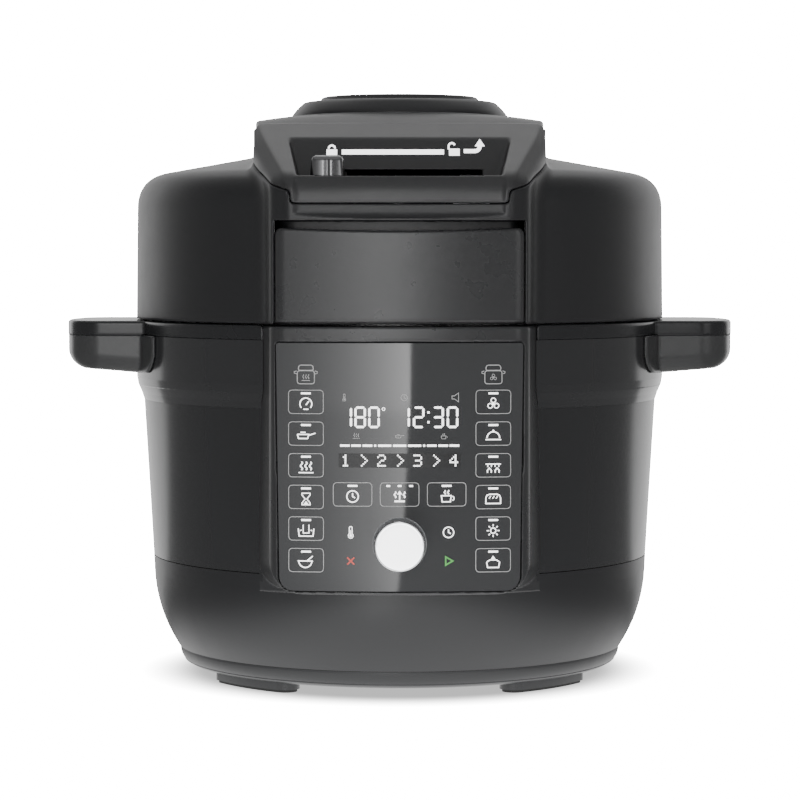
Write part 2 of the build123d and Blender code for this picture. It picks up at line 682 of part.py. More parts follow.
def latch_bezel():
    """Sloped latch bezel with its recess and the slot that the latch lever slides in."""
    space = bezel_space(0.0)
    body = (bridge(0.0, 240.0) & space) - (bridge(WALL, 230.0) & block(-90, 90, -155, -60, 200, 330))
    well = recess_space()
    liner = side_prism([(-100.6, 310), (-119.2, 282.8), (NOSE_Y + 1, 282.8), (NOSE_Y + 1, 310)], -64, 64)
    body += (liner & bridge(0.0, 240.0) & space)
    body -= well
    return body - block(-SLOT_HALF, SLOT_HALF, -140, -100, SLOT_Z - 2.2, SLOT_Z + 2.2)


def top_cap():
    """Round vent cap on the bridge: a concave flare, a flat tier and a raised centre."""
    low = CAP_SEAT_Z + 0.1
    flare = Plane.XZ * make_face([ThreePointArc((CAP_R, 324.6), (58.6, 326.6), (56.0, 330.6)),
                                  Polyline((56.0, 330.6), (46.2, 331.8), (45.0, 334.2), (40.0, 334.6),
                                           (0, 334.6),
                                           (0, 331.6), (43.0, 331.6), (52.0, 328.4), (55.0, low),
                                           (CAP_R, low),
                                           (CAP_R, 324.6))])
    cap = revolve(flare, Axis.Z)
    cap -= ring(36.2, 41.0, 334.0, 340)
    for k in range(24):
        x, y = at_deg(50.0, k * 15.0)
        cap -= Pos(x, y, 330) * Rot(0, 0, k * 15.0) * Box(3.0, 5.0, 12)
    return cap


def cap_disc():
    """Glossy inlay in the middle of the cap."""
    return turned([(0, 334.7), (35.8, 334.7), (35.8, 335.2), (30.0, 335.9), (0, TOP_Z + 0.2)])


# ---------------------------------------------------------------- lid: inside
FRAME_Z = 209.4           # lid frame plate
FLANGE_Z = 213.6          # dome flange on top of it


def lid_frame():
    """Ring plate that closes the lid from below and carries the dome and the lock ring."""
    frame = ring(122.9, 151.0, FRAME_Z, FRAME_Z + 4.0)
    frame -= sector(120.0, 133.0, FRAME_Z - 1, FRAME_Z + 5, 0, 60)
    for deg in SCREW_DEGS:
        frame -= disc(2.1, 205, 216, *at_deg(145.0, deg))
    return frame


SCREW_DEGS = (40.0, 90.0, 140.0, 220.0, 270.0, 320.0)


def lid_screws():
    """Six screws that hold the frame up to the lid cover."""
    return Compound([disc(2.0, FRAME_Z - 0.4, 222, *at_deg(145.0, deg)) + disc(3.6, FRAME_Z - 1.8,
                                                                               FRAME_Z - 0.2,
                     *at_deg(145.0, deg)) for deg in SCREW_DEGS])


def inner_dome():
    """Pressed steel dome: it holds the fan and coil, and seals on the cooking pot."""
    t = 1.2
    dome = turned([(0, 246.0), (100.0, 246.0), (104.0, 242.0), (104.0, 201.6), (121.4, 201.6),
                   (121.4, FLANGE_Z + t),
                   (128.0, FLANGE_Z + t), (128.0, FLANGE_Z), (122.6, FLANGE_Z), (122.6, 200.4),
                   (102.8, 200.4),
                   (102.8, 241.4), (99.4, 244.8), (0, 244.8)])
    dome -= sector(123.0, 135.0, 210, 220, 0, 60)
    dome -= disc(4.0 + RUNNING, 240, 250)
    dome -= disc(3.4, 240, 250, *VALVE_XY)
    dome -= disc(4.4, 240, 250, *RELEASE_XY)
    return dome


VALVE_XY = (-62.0, 52.0)
RELEASE_XY = (44.0, 74.0)


def sealing_ring():
    """Silicone ring under the dome's shelf that closes on the pot's rim."""
    return turned([(107.0, 194.5), (111.0, 194.5), (112.5, 198.6), (119.6, 194.5), (120.2, 200.2),
                   (106.0, 200.2)])


def heating_coil():
    """Flat two-turn heating coil under the fan."""
    turns = Pos(0, 0, 216.0) * Torus(84.0, 3.2) + Pos(0, 0, 216.0) * Torus(66.0, 3.2)
    for deg in (35, 155, 275):
        x, y = at_deg(75.0, deg)
        turns += Pos(x, y, 216.0) * Rot(0, 0, deg) * Box(3.0, 18.0, 2.0)
    for x in (-6.0, 6.0):
        turns += disc(2.2, 216.0, 244.7, x, 84.0)
    return turns


def element_guard():
    """Pressed guard below the coil, with four legs up to the dome."""
    guard = ring(98.6, 101.2, 204.6, 206.8)
    for r in (80.0, 60.0, 40.0, 20.0):
        guard += ring(r, r + 2.0, 204.8, 206.6)
    for k in range(4):
        guard += Rot(0, 0, 22.5 + 45.0 * k) * block(-100.0, 100.0, -1.2, 1.2, 205.0, 206.4)
        guard += Rot(0, 0, 90.0 * k) * block(98.8, 101.0, -5.0, 5.0, 205.0, 242.0)
    return guard


def fan_motor():
    """Fan motor on three feet that stand on the dome."""
    body = disc(27.0, 252.0, 280.0)
    for deg in (0, 120, 240):
        body += disc(4.0, 246.0, 256.0, *at_deg(28.0, deg))
    body = softened(body, body.edges().filter_by_position(Axis.Z, 279.9, 280.1), 3.0)
    return body - disc(4.0 + RUNNING, 245, 290)


def rotor_shaft():
    """Shaft through the motor that carries both fans."""
    return disc(4.0, 224.0, 296.0)


def fan_blades(r_hub, r_tip, z0, z1, count, r_bore):
    """A flat fan: hub, back plate and straight blades."""
    fan = disc(r_hub, z0, z1) + disc(r_tip - 2.0, z1 - 1.2, z1)
    for k in range(count):
        fan += Rot(0, 0, k * 360.0 / count) * Pos((r_hub + r_tip) / 2, 0, 0) * Rot(0, 0, 14) * block(
            (r_hub - r_tip) / 2, (r_tip - r_hub) / 2 - 2.5, -0.6, 0.6, z0, z1 - 0.5)
    return fan - disc(r_bore, z0 - 1, z1 + 1)


def hot_air_fan():
    """Fan above the coil."""
    return fan_blades(12.0, 72.0, 226.0, 238.0, 8, 4.0)


def cooling_fan():
    """Fan above the motor, under the vent cap."""
    return fan_blades(8.0, 38.0, 286.0, 295.0, 9, 4.0)


# ---------------------------------------------------------------- lid: latch and valves
RING_IN, RING_OUT = 123.2, 131.2


def latch_angle(x):
    """Turn of the lock ring, from the front, when the latch carriage is at x."""
    return math.degrees(math.atan2(x, -LATCH_Y))


def lock_ring():
    """Ring that turns in the lid: its lugs close under the base's lugs, and its fork follows the latch."""
    body = ring(RING_IN, 126.6, 196.6, 209.0)
    for k in range(LUG_COUNT):
        body += sector(RING_IN, RING_OUT, 196.6, 200.0, lug_deg(k), LUG_DEG)
    deg = latch_angle(LATCH_X)
    fork = sector(124.2, 130.6, 208.0, 221.0, deg, 9.0) + sector(105.6, 130.6, 217.6, 221.0, deg, 9.0)
    slot = Rot(0, 0, deg) * block(-4.4, 4.4, -123.0, -100.0, 216.0, 222.0)
    return body + fork - slot


def latch_carriage():
    """Carriage behind the latch slot, with a drive bar down to the lock ring and a lever out to the knob."""
    x = LATCH_X
    bar = block(x - 2.6, x + 2.6, LATCH_Y - 1.3, LATCH_Y + 1.7, 217.0, 289.6)
    plate = block(x - 10.0, x + 10.0, LATCH_Y + 1.5, LATCH_Y + 4.0, 262.0, 289.6)
    lever = block(x - 5.5, x + 5.5, -138.0, LATCH_Y + 2.0, 286.8, 289.6)
    return bar + plate + lever


def latch_knob():
    """Metal finger knob on the latch lever, with a rounded top and a waist."""
    x, half = LATCH_X, 9.4
    knob = block(x - half, x + half, -144.0, -127.0, 285.7, 297.6)
    knob = softened(knob, [e for e in knob.edges() if e.center().Z > 296], 3.4)
    return knob - block(x - 5.5, x + 5.5, -138.0, -120.0, 286.8, 289.6)


def lid_knuckles():
    """Hinge arm of the lid with its two knuckles."""
    arm = block(-29.4, 29.4, 142.0, 148.4, FRAME_Z + 4.1, 224.0)
    for side in (-1, 1):
        x0, x1 = sorted((side * 18.6, side * 29.4))
        knuckle = rod_x(6.4, x0, x1, HINGE_Y, HINGE_Z)
        knuckle += block(x0, x1, 147.0, HINGE_Y, HINGE_Z + 1.0, HINGE_Z + 6.2)
        arm += knuckle
    return arm - rod_x(PIN_R + RUNNING, -50, 50, HINGE_Y, HINGE_Z)


def float_valve():
    """Float pin that rises under pressure, with its head inside the dome and its stop collar above."""
    x, y = VALVE_XY
    return disc(3.2, 236.5, 260.0, x, y) + disc(5.6, 236.5, 238.7, x, y) + disc(5.0, 246.6, 248.6, x, y)


def release_pipe():
    """Steam pipe from the dome to the release valve."""
    x, y = RELEASE_XY
    return ring(2.6, 4.3, 242.0, 262.0, x, y) + ring(4.3, 8.0, 246.1, 248.5, x, y)


def release_weight():
    """Weight that closes the steam pipe; the solenoid lifts it."""
    x, y = RELEASE_XY
    return ring(5.0, 9.0, 254.0, 270.0, x, y) + disc(9.0, 262.4, 270.0, x, y)


def solenoid():
    """Solenoid above the release weight."""
    x, y = RELEASE_XY
    return block(x - 11, x + 11, y - 10, y + 10, 274.6, 292.0)


def vent_cover():
    """Steam outlet cover on the lid's rear slope; it pulls straight up for cleaning."""
    x, y = VENT_XY
    cover = disc(15.0, 305.7, 317.4, x, y)
    cover = softened(cover, cover.edges().filter_by_position(Axis.Z, 317.3, 317.5), 2.0)
    cover += disc(8.8, 297.0, 306.0, x, y)
    cover -= disc(6.8, 295.0, 314.8, x, y)
    for k in range(8):
        cover -= Pos(x, y, 313.0) * Rot(0, 0, k * 45.0) * Pos(12.0, 0, 0) * Box(12.0, 3.0, 3.0)
    return cover


# ---------------------------------------------------------------- all the pieces
PARTS = {
    "base_skirt": base_skirt, "foot_pads": foot_pads, "lower_shell": lower_shell,
    "steel_sleeve": steel_sleeve,
    "upper_belt": upper_belt, "rim_collar": rim_collar, "right_grip": ear_grip,
    "left_grip": lambda: mirrored(ear_grip()),
    "control_fascia": control_fascia, "touch_panel": touch_panel, "control_board": control_board,
    "board_screws": board_screws, "display_module": display_module, "dial_encoder": dial_encoder,
    "dial_plunger": dial_plunger, "dial_shaft": dial_shaft, "dial_knob": dial_knob, "dial_ring": dial_ring,
    "heating_vessel": heating_vessel, "lug_ring": lug_ring, "heater_plate": heater_plate,
    "heater_element": heater_element, "sensor_button": sensor_button, "sensor_seat": sensor_seat,
    "sensor_spring": sensor_spring, "cooking_pot": cooking_pot,
    "rear_spine": rear_spine, "drip_cup": drip_cup, "power_inlet": power_inlet, "inlet_pins": inlet_pins,
    "inlet_screws": inlet_screws, "hinge_bracket": hinge_bracket, "hinge_pin": hinge_pin,
    "hinge_springs": hinge_springs, "power_board": power_board, "tray_screws": tray_screws,
    "lid_shell": lid_shell, "lid_front_cover": lid_front_cover, "latch_bezel": latch_bezel,
    "top_cap": top_cap,
    "cap_disc": cap_disc, "lid_frame": lid_frame, "lid_screws": lid_screws, "inner_dome": inner_dome,
    "sealing_ring": sealing_ring, "heating_coil": heating_coil, "element_guard": element_guard,
    "fan_motor": fan_motor, "rotor_shaft": rotor_shaft, "hot_air_fan": hot_air_fan,
    "cooling_fan": cooling_fan,
    "lock_ring": lock_ring, "latch_carriage": latch_carriage, "latch_knob": latch_knob,
    "lid_knuckles": lid_knuckles, "float_valve": float_valve, "release_pipe": release_pipe,
    "release_weight": release_weight, "solenoid": solenoid, "vent_cover": vent_cover,
}

os.makedirs("parts", exist_ok=True)
for name, make in PARTS.items():
    export_step(make(), f"parts/{name}.step")
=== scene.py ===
"""Visual model of a countertop electric pressure cooker with a hinged air-crisping lid.

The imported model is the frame. Pieces are made here in millimetres and stored in metres, in the frame's axes:
+Z up, -Y towards the user, the origin on the worktop under the middle of the pot.
"""

import functools
import json
import math

import bmesh
import bpy
import numpy as np
from mathutils import Matrix, Vector


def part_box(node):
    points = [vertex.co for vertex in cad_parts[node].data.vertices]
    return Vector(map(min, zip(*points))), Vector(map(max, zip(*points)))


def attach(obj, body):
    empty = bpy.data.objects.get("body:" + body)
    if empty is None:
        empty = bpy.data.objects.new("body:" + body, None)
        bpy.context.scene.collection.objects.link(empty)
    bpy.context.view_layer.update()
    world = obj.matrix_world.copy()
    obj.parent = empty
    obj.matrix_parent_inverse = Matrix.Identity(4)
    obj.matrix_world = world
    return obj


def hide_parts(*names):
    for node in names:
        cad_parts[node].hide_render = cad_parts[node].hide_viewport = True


bl_info = {
    "name": "Pressure Cooker Builder",
    "version": (1, 0, 0),
    "blender": (4, 5, 0),
    "location": "3D View > Sidebar > Cooker",
    "description": "Builds the covers, panel, trim and finishes of a countertop pressure cooker",
    "category": "Add Mesh",
}

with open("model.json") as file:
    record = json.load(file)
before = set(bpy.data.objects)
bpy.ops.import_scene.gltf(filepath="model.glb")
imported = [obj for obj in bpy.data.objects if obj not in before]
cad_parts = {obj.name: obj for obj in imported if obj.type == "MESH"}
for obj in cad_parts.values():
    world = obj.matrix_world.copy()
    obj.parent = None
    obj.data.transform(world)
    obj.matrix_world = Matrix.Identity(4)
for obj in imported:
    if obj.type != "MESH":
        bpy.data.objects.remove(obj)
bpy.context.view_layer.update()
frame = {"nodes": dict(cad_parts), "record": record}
MM = 0.001


def cad(node):
    """Lowest and highest corner of a node of the frame, in millimetres."""
    low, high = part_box(node)
    return Vector(low) / MM, Vector(high) / MM


# ------------------------------------------------------------------ sizes read from the frame
SHELL_LOW, SHELL_HIGH = cad("lid_shell")
COLLAR_LOW, COLLAR_HIGH = cad("rim_collar")
PANEL_LOW, PANEL_HIGH = cad("touch_panel")
FASCIA_LOW, FASCIA_HIGH = cad("control_fascia")
COVER_LOW, COVER_HIGH = cad("lid_front_cover")
KNOB_LOW, KNOB_HIGH = cad("latch_knob")
DIAL_LOW, DIAL_HIGH = cad("dial_ring")
DIAL_CAP_LOW, DIAL_CAP_HIGH = cad("dial_knob")
CAP_LOW, CAP_HIGH = cad("top_cap")
INLAY_HIGH = cad("cap_disc")[1]
GRIP_HIGH = cad("right_grip")[1]
VENT_LOW, VENT_HIGH = cad("vent_cover")

SEAM_Z = COLLAR_HIGH.z          # where the lid sits down on the base
LID_Z = SHELL_LOW.z
BODY_R = SHELL_HIGH.x
WALL_TAPER = 1.0 / 82.0         # the lid's wall leans in by this much as it rises
SHOULDER_R, SHOULDER_Z = 88.0, 299.7
SHOULDER_BLEND = 17.0           # how wide the shoulder is
SHOULDER_SLOPE = 0.1812         # fall of the lid's shallow top towards its edge

BULGE_X, BULGE_Y = 68.5, -153.5     # front corner of the bulge that carries the panel
BULGE_ROOT = (75.0, -131.0)
BULGE_FRONT = -159.5
BULGE_R = (BULGE_X ** 2 + (BULGE_Y - BULGE_FRONT) ** 2) / (2 * (BULGE_Y - BULGE_FRONT))

BLOCK_X = 81.4                  # raised block across the lid
BLOCK_FRONT_Y = -84.0           # where its nose starts to narrow and to slope
BEZEL_REAR_Y = -67.0            # joint behind the top edge of the slope
NOSE_X, NOSE_Y = 60.5, -157.0
SLOPE_Z = (317.6, 284.2)        # height of the slope at those two places
LEDGE_Z = 262.8                 # underside of the nose
STRIP_X = 58.6                  # half width of the bezel's front strip
STRIP_Z = 271.5                 # joint under the bezel's front strip
JOINT_REAR, JOINT_FRONT = (-84.0, 303.5), (-157.0, 278.5)      # (y, z) of its joint on the flanks
CLEAR_X, CLEAR_DEPTH = 59.0, 6.0         # the bulge is cut back by this much behind the nose
BLOCK_REAR_Y = 128.0
BLOCK_REAR_SLOPE = (140.0, 296.0, 60.0, 319.0)   # y, z of two points of the slope at its rear
BLOCK_REAR_X = (57.4, 102.0)    # its rear corners run from this x at the rear to this y at the flank
CROWN_Z, CROWN_DROP = 324.6, 5.8         # crown of the block, and its fall at the flanks

RECESS_X, RECESS_LOW_X = 61.6, 54.6
RECESS_FLOOR_Z, RECESS_RIM_Z = 285.2, 309.4
RECESS_LIP_Y = -151.0
RECESS_TOP = (-103.6, 312.0)    # (y, z) of the top of the recess's back wall
RECESS_BACK = (-121.0, RECESS_FLOOR_Z)  # and of its foot
SLOT_X, SLOT_Z, SLOT_HALF = 45.2, 288.2, 2.2

EAR_X, EAR_Y = COLLAR_HIGH.x, 49.5      # handle ears, measured from the axis
EAR_CORNER = 14.0
EAR_BOW = 8.6                   # the handle's end bows out by this much
FASCIA_R = 139.5                # the fascia stops at the vessel's side of this radius
LOWER_R = 144.4                 # skin of the lower shell beside the fascia's foot
LOWER_Z, LOWER_LEAN = 69.0, 0.0571      # where that skin starts to lean out, and by how much
FASCIA_CORNER, FASCIA_WALL = 17.0, 4.6
WINDOW_X, WINDOW_Z, WINDOW_HALF = 35.0, 157.5, 24.5     # opening behind the display
DIAL_POCKET_Y = -156.4
COLLAR_BORE_R = 141.4
SPINE_X, SPINE_Y = 47.2, 110.0          # notch of the collar over the rear spine
HOLLOW_X, HOLLOW_Z = 160.0, 194.0       # root and roof of the finger hollow
PAD_Z, PAD_T, PAD_CORNER = 176.4, 1.9, 14.0     # thin root of each handle on the belt
DIAL_Z = (DIAL_LOW.z + DIAL_HIGH.z) / 2
VENT_X = (VENT_LOW.x + VENT_HIGH.x) / 2
VENT_Y = (VENT_LOW.y + VENT_HIGH.y) / 2
HINGE_Z, KNUCKLE_X = 212.5, 24.0
DECK_R, DECK_Z = (43.0, 66.0), 317.1     # ring that closes the lid under the cap
VENT_R, VENT_SEAT_Z = 15.5, 305.4        # seat of the steam outlet
VENT_PAD_R, VENT_PAD_Z = (9.2, 17.6), 304.0      # floor of that seat, round the steam pipe
COOLING_X, COOLING_Z = (26.0, 17.0), (250.0, 20.0)      # middle and half size of the two rear grilles
ROW_PITCH = 9.0                          # from one cooling slot to the next
GROOVE_X, GROOVE_DEPTH = 67.4, 7.5       # dark groove above the front cover
POCKET_DEPTH, PLATE_T = 2.4, 1.9         # seat of the front cover, and its own thickness


# ------------------------------------------------------------------ rounded distance shapes
def within(*shapes):
    """What all the shapes share, with sharp edges."""
    return functools.reduce(np.maximum, shapes)


def cut(body, tool):
    """The body without the space of the tool."""
    return np.maximum(body, -tool)


def joined(a, b, blend):
    """Union of two shapes with a concave fillet of about the blend's size."""
    h = np.maximum(blend - np.abs(a - b), 0.0)
    return np.minimum(a, b) - h * h / (4.0 * blend)


def common(a, b, blend):
    """What two shapes share, with its edge rounded by about the blend's size."""
    h = np.maximum(blend - np.abs(a - b), 0.0)
    return np.maximum(a, b) + h * h / (4.0 * blend)


def edge(a, b, radius):
    """What two faces at right angles share, with a true round of that radius between them."""
    u, v = a + radius, b + radius
    return np.hypot(np.maximum(u, 0.0), np.maximum(v, 0.0)) + np.minimum(np.maximum(u, v), 0.0) - radius


def through(ax, az, bx, bz, x, z):
    """Signed distance from the line through (ax, az) and (bx, bz): positive on its left."""
    dx, dz = bx - ax, bz - az
    return ((z - az) * dx - (x - ax) * dz) / math.hypot(dx, dz)


def lid_dome(x, y, z):
    """Round wall with a wide soft shoulder."""
    r = np.sqrt(x * x + y * y)
    wall = r - BODY_R + (z - LID_Z) * WALL_TAPER
    top = (z - SHOULDER_Z - (SHOULDER_R - r) * SHOULDER_SLOPE) * 0.984
    return common(wall, top, SHOULDER_BLEND)


def bulge(x, y, z):
    """The upright front bulge, endless in height."""
    side = through(BULGE_X, BULGE_Y, *BULGE_ROOT, np.abs(x), y) * -1.0
    front = np.sqrt(x * x + (y - BULGE_FRONT - BULGE_R) ** 2) - BULGE_R
    return common(side, front, 6.5)


def slope_plane(y, z):
    """Sloped front of the raised block: positive above it."""
    return through(BLOCK_FRONT_Y, SLOPE_Z[0], NOSE_Y, SLOPE_Z[1], y, z) * -1.0


def block(x, y, z):
    """Raised block across the lid with its tapered nose and crowned top."""
    ax = np.abs(x)
    flank = ax - BLOCK_X
    taper = through(BLOCK_X, BLOCK_FRONT_Y, NOSE_X, NOSE_Y, ax, y)
    side = common(flank, taper, 8.0)
    crown = z - CROWN_Z + CROWN_DROP * (ax / BLOCK_X) ** 2.6
    top = common(crown, slope_plane(y, z), 6.0)
    nose = common(NOSE_Y - y, LEDGE_Z - z, 1.6)
    top = common(top, nose, 11.0)
    rear = common(y - BLOCK_REAR_Y, through(*BLOCK_REAR_SLOPE, y, z) * -1.0, 8.0)
    corner = through(BLOCK_REAR_X[0], BLOCK_REAR_Y, BLOCK_X, BLOCK_REAR_X[1], ax, y)
    rear = common(rear, corner, 20.0)
    return common(edge(top, side, 1.8), rear, 9.0)


def lid_form(x, y, z):
    """Whole outer form of the lid."""
    upright = common(bulge(x, y, z), slope_plane(y, z) + 2.6, 7.0)
    upright = within(upright, y + 90.0, np.abs(x) - BLOCK_X + 1.0)
    behind_nose = within(y - NOSE_Y - CLEAR_DEPTH, np.abs(x) - CLEAR_X)
    cleared = np.minimum(y - NOSE_Y, behind_nose)
    upright = cut(upright, within(LEDGE_Z - z, cleared))
    body = joined(lid_dome(x, y, z), upright, 5.0)
    return joined(body, block(x, y, z), 6.0)


def cover_pocket(x, y, z, grow):
    """Space of the lid's front cover plate."""
    ax = np.abs(x)
    half = (COVER_HIGH.x - COVER_LOW.x) / 2 + grow
    plate = common(ax - half, z - COVER_HIGH.z + 1.8 - grow - x * x * 0.0004, 4.5)
    return within(plate, y + 140.0)


def bezel_region(x, y, z, grow):
    """Space of the latch bezel: the block above a sloping joint on its flanks, and the strip below it."""
    above = through(*JOINT_REAR, *JOINT_FRONT, y, z)
    strip = common(np.abs(x) - STRIP_X, STRIP_Z - z, 3.0)
    return within(joined(above, strip, 3.0), y - BEZEL_REAR_Y) - grow


def recess(x, y, z):
    """Trapezoid recess that the latch knob moves in."""
    back = through(*RECESS_TOP, *RECESS_BACK, y, z)
    spread = (RECESS_X - RECESS_LOW_X) / (RECESS_RIM_Z - RECESS_FLOOR_Z)
    side = np.abs(x) - (RECESS_LOW_X + (z - RECESS_FLOOR_Z) * spread)
    lip = RECESS_LIP_Y - y
    return edge(edge(edge(back, side, 2.4), lip, 1.0), RECESS_FLOOR_Z - z, 1.0)


# ------------------------------------------------------------------ meshes from distance shapes
CORNERS = [(i, j, k) for i in (0, 1) for j in (0, 1) for k in (0, 1)]
EDGES = [(a, b) for a in CORNERS for b in CORNERS
         if sum(b) - sum(a) == 1 and all(q >= p for p, q in zip(a, b))]


def cells(field, corner):
    """The field's values at one corner of every cell."""
    i, j, k = corner
    nx, ny, nz = (n - 1 for n in field.shape)
    return field[i:i + nx, j:j + ny, k:k + nz]


def surface(shape, low, high, step):
    """Points and quads of the skin where the shape's distance is zero: one point in each crossed cell."""
    axes = [np.arange(a - 2 * step, b + 3 * step, step) for a, b in zip(low, high)]
    x, y, z = np.meshgrid(*axes, indexing="ij", sparse=True)
    field = (shape(x, y, z) + 0.0 * (x + y + z)).astype(np.float32)
    inside = field < 0
    total = sum(cells(inside, c).astype(np.int8) for c in CORNERS)
    crossed = (total > 0) & (total < 8)
    where = np.argwhere(crossed)
    number = np.full(crossed.shape, -1, np.int64)
    number[crossed] = np.arange(len(where))
    spot = np.zeros((len(where), 3))
    hits = np.zeros(len(where))
    for a, b in EDGES:
        va, vb = cells(field, a)[crossed], cells(field, b)[crossed]
        cut = (va < 0) != (vb < 0)
        t = np.where(cut, va / np.where(cut, va - vb, 1.0), 0.0)
        for n in range(3):
            spot[:, n] += cut * (a[n] + t * (b[n] - a[n]))
        hits += cut
    points = np.array([axis[0] for axis in axes]) + (where + spot / hits[:, None]) * step
    return settle(shape, points, step), skin_quads(inside, number)


def skin_quads(inside, number):
    """One quad round every grid edge that the skin crosses, wound outwards."""
    quads = []
    for n in range(3):
        u, v = (n + 1) % 3, (n + 2) % 3
        first = [slice(1, -1)] * 3
        first[n] = slice(0, -1)
        second = list(first)
        second[n] = slice(1, None)
        start, stop = inside[tuple(first)], inside[tuple(second)]
        base = np.argwhere(start != stop)
        outward = start[start != stop]
        base[:, u] += 1
        base[:, v] += 1
        ring = []
        for du, dv in ((-1, -1), (0, -1), (0, 0), (-1, 0)):
            cell = base.copy()
            cell[:, u] += du
            cell[:, v] += dv
            ring.append(number[cell[:, 0], cell[:, 1], cell[:, 2]])
        ring = np.stack(ring, 1)
        quads += [ring[outward], ring[~outward][:, ::-1]]
    return np.concatenate(quads)


def settle(shape, points, step):
    """Moves the points along the shape's slope until they lie on its skin."""
    reach = 0.02
    for _ in range(4):
        p = points.T
        here = shape(*p)
        slope = np.stack([(shape(*(p + reach * axis[:, None])) - here) / reach for axis in np.eye(3)], 1)
        size = np.maximum((slope * slope).sum(1), 0.25)
        points = points - np.clip(here / size, -step, step)[:, None] * slope * 0.9
    return points


def mesh_object(name, points, faces, smooth=True):
    """Object from points in millimetres; the points are stored in metres."""
    mesh = bpy.data.meshes.new(name)
    corners = [tuple(int(i) for i in f) for f in faces]
    mesh.from_pydata([tuple(p) for p in np.asarray(points) * MM], [], corners)
    mesh.validate()
    mesh.update()
    mesh.polygons.foreach_set("use_smooth", [smooth] * len(mesh.polygons))
    made = bpy.data.objects.new(name, mesh)
    bpy.context.scene.collection.objects.link(made)
    return made


def moulded(name, shape, low, high, step):
    """Piece whose skin is a distance shape."""
    return mesh_object(name, *surface(shape, low, high, step))


def lathe(name, profile, steps=128, centre=(0.0, 0.0)):
    """Turned piece about Z from (radius, height) points listed from the axis outwards and back."""
    angles = np.linspace(0, 2 * math.pi, steps, endpoint=False)
    points, faces = [], []
    rows = []
    for r, z in profile:
        if r < 1e-6:
            rows.append([len(points)])
            points.append((centre[0], centre[1], z))
        else:
            rows.append(list(range(len(points), len(points) + steps)))
            points += [(centre[0] + r * math.cos(a), centre[1] + r * math.sin(a), z) for a in angles]
    for low, high in zip(rows, rows[1:]):
        for k in range(steps):
            a, b = low[k % len(low)], low[(k + 1) % len(low)]
            c, d = high[(k + 1) % len(high)], high[k % len(high)]
            corners = list(dict.fromkeys((a, b, c, d)))
            if len(corners) > 2:
                faces.append(corners)
    return mesh_object(name, points, faces)


def rounded_path(corners, radius, steps=5):
    """Closed outline through (x, z) corners, with each corner rounded."""
    path = []
    count = len(corners)
    for i, corner in enumerate(corners):
        p = Vector(corner)
        before = (Vector(corners[i - 1]) - p).normalized()
        after = (Vector(corners[(i + 1) % count]) - p).normalized()
        start, stop = p + before * radius, p + after * radius
        for k in range(steps + 1):
            t = k / steps
            path.append(start.lerp(p, t).lerp(p.lerp(stop, t), t))
    return path


# ------------------------------------------------------------------ panel graphics
def panel_y(x):
    """Front face of the touch panel at x."""
    return BULGE_FRONT + BULGE_R - math.sqrt((BULGE_R - 0.15) ** 2 - x * x)


PRINT_T = 0.16           # height that printed marks stand out


def ribbon(path, width, closed=False):
    """Plan of a stroke: two rails of (x, z) points, mitred at the corners."""
    points = [Vector(p) for p in path]
    count = len(points)
    left, right = [], []
    for i, p in enumerate(points):
        before = points[i - 1] if (closed or i) else None
        after = points[(i + 1) % count] if (closed or i < count - 1) else None
        arms = []
        if before is not None and (p - before).length > 1e-9:
            arms.append((p - before).normalized())
        if after is not None and (after - p).length > 1e-9:
            arms.append((after - p).normalized())
        along = sum(arms, Vector((0.0, 0.0))).normalized()
        across = Vector((-along.y, along.x))
        reach = width / 2 / max(abs(across.dot(Vector((-arms[0].y, arms[0].x)))), 0.5)
        left.append(p + across * reach)
        right.append(p - across * reach)
    return left, right


def stroke(path, width, closed=False):
    """Quads of a stroke, as lists of (x, z) corners, cut short enough to follow the curved panel."""
    path = [Vector(p) for p in path]
    if closed:
        path.append(path[0])
    fine = [path[0]]
    for a, b in zip(path, path[1:]):
        parts = max(1, int((b - a).length / 4.0))
        fine += [a.lerp(b, (k + 1) / parts) for k in range(parts)]
    if closed:
        fine.pop()
    left, right = ribbon(fine, width, closed)
    count = len(fine)
    last = count if closed else count - 1
    return [(left[i], right[i], right[(i + 1) % count], left[(i + 1) % count]) for i in range(last)]


def patch(corners):
    """A filled flat shape."""
    return [tuple(Vector(c) for c in corners)]


def circle(x, z, r, start=0.0, stop=360.0, steps=24):
    """Points of an arc, in degrees from +X towards +Z."""
    turn = [math.radians(start + (stop - start) * k / steps) for k in range(steps + 1)]
    return [(x + r * math.cos(a), z + r * math.sin(a)) for a in turn]


def printed(name, shapes, place, lift=PRINT_T):
    """One thin raised piece from flat shapes; place turns (x, z, lift) into a point of the model."""
    points, faces = [], []
    for corners in shapes:
        n, start = len(corners), len(points)
        points += [place(c[0], c[1], 0.0) for c in corners] + [place(c[0], c[1], lift) for c in corners]
        faces.append([start + i for i in range(n)][::-1])
        faces.append([start + n + i for i in range(n)])
        after = [(i + 1) % n for i in range(n)]
        faces += [[start + i, start + k, start + n + k, start + n + i] for i, k in enumerate(after)]
    made = mesh_object(name, points, faces, smooth=False)
    tidy = bmesh.new()
    tidy.from_mesh(made.data)
    bmesh.ops.recalc_face_normals(tidy, faces=tidy.faces)
    tidy.to_mesh(made.data)
    tidy.free()
    return made


def on_panel(x, z, lift):
    """Point of a mark on the touch panel."""
    return (x, panel_y(x) - lift, z)


def shifted(shapes, x, z, size=1.0):
    """Shapes drawn about the origin, scaled and moved to (x, z)."""
    return [tuple(Vector((c[0] * size + x, c[1] * size + z)) for c in corners) for corners in shapes]


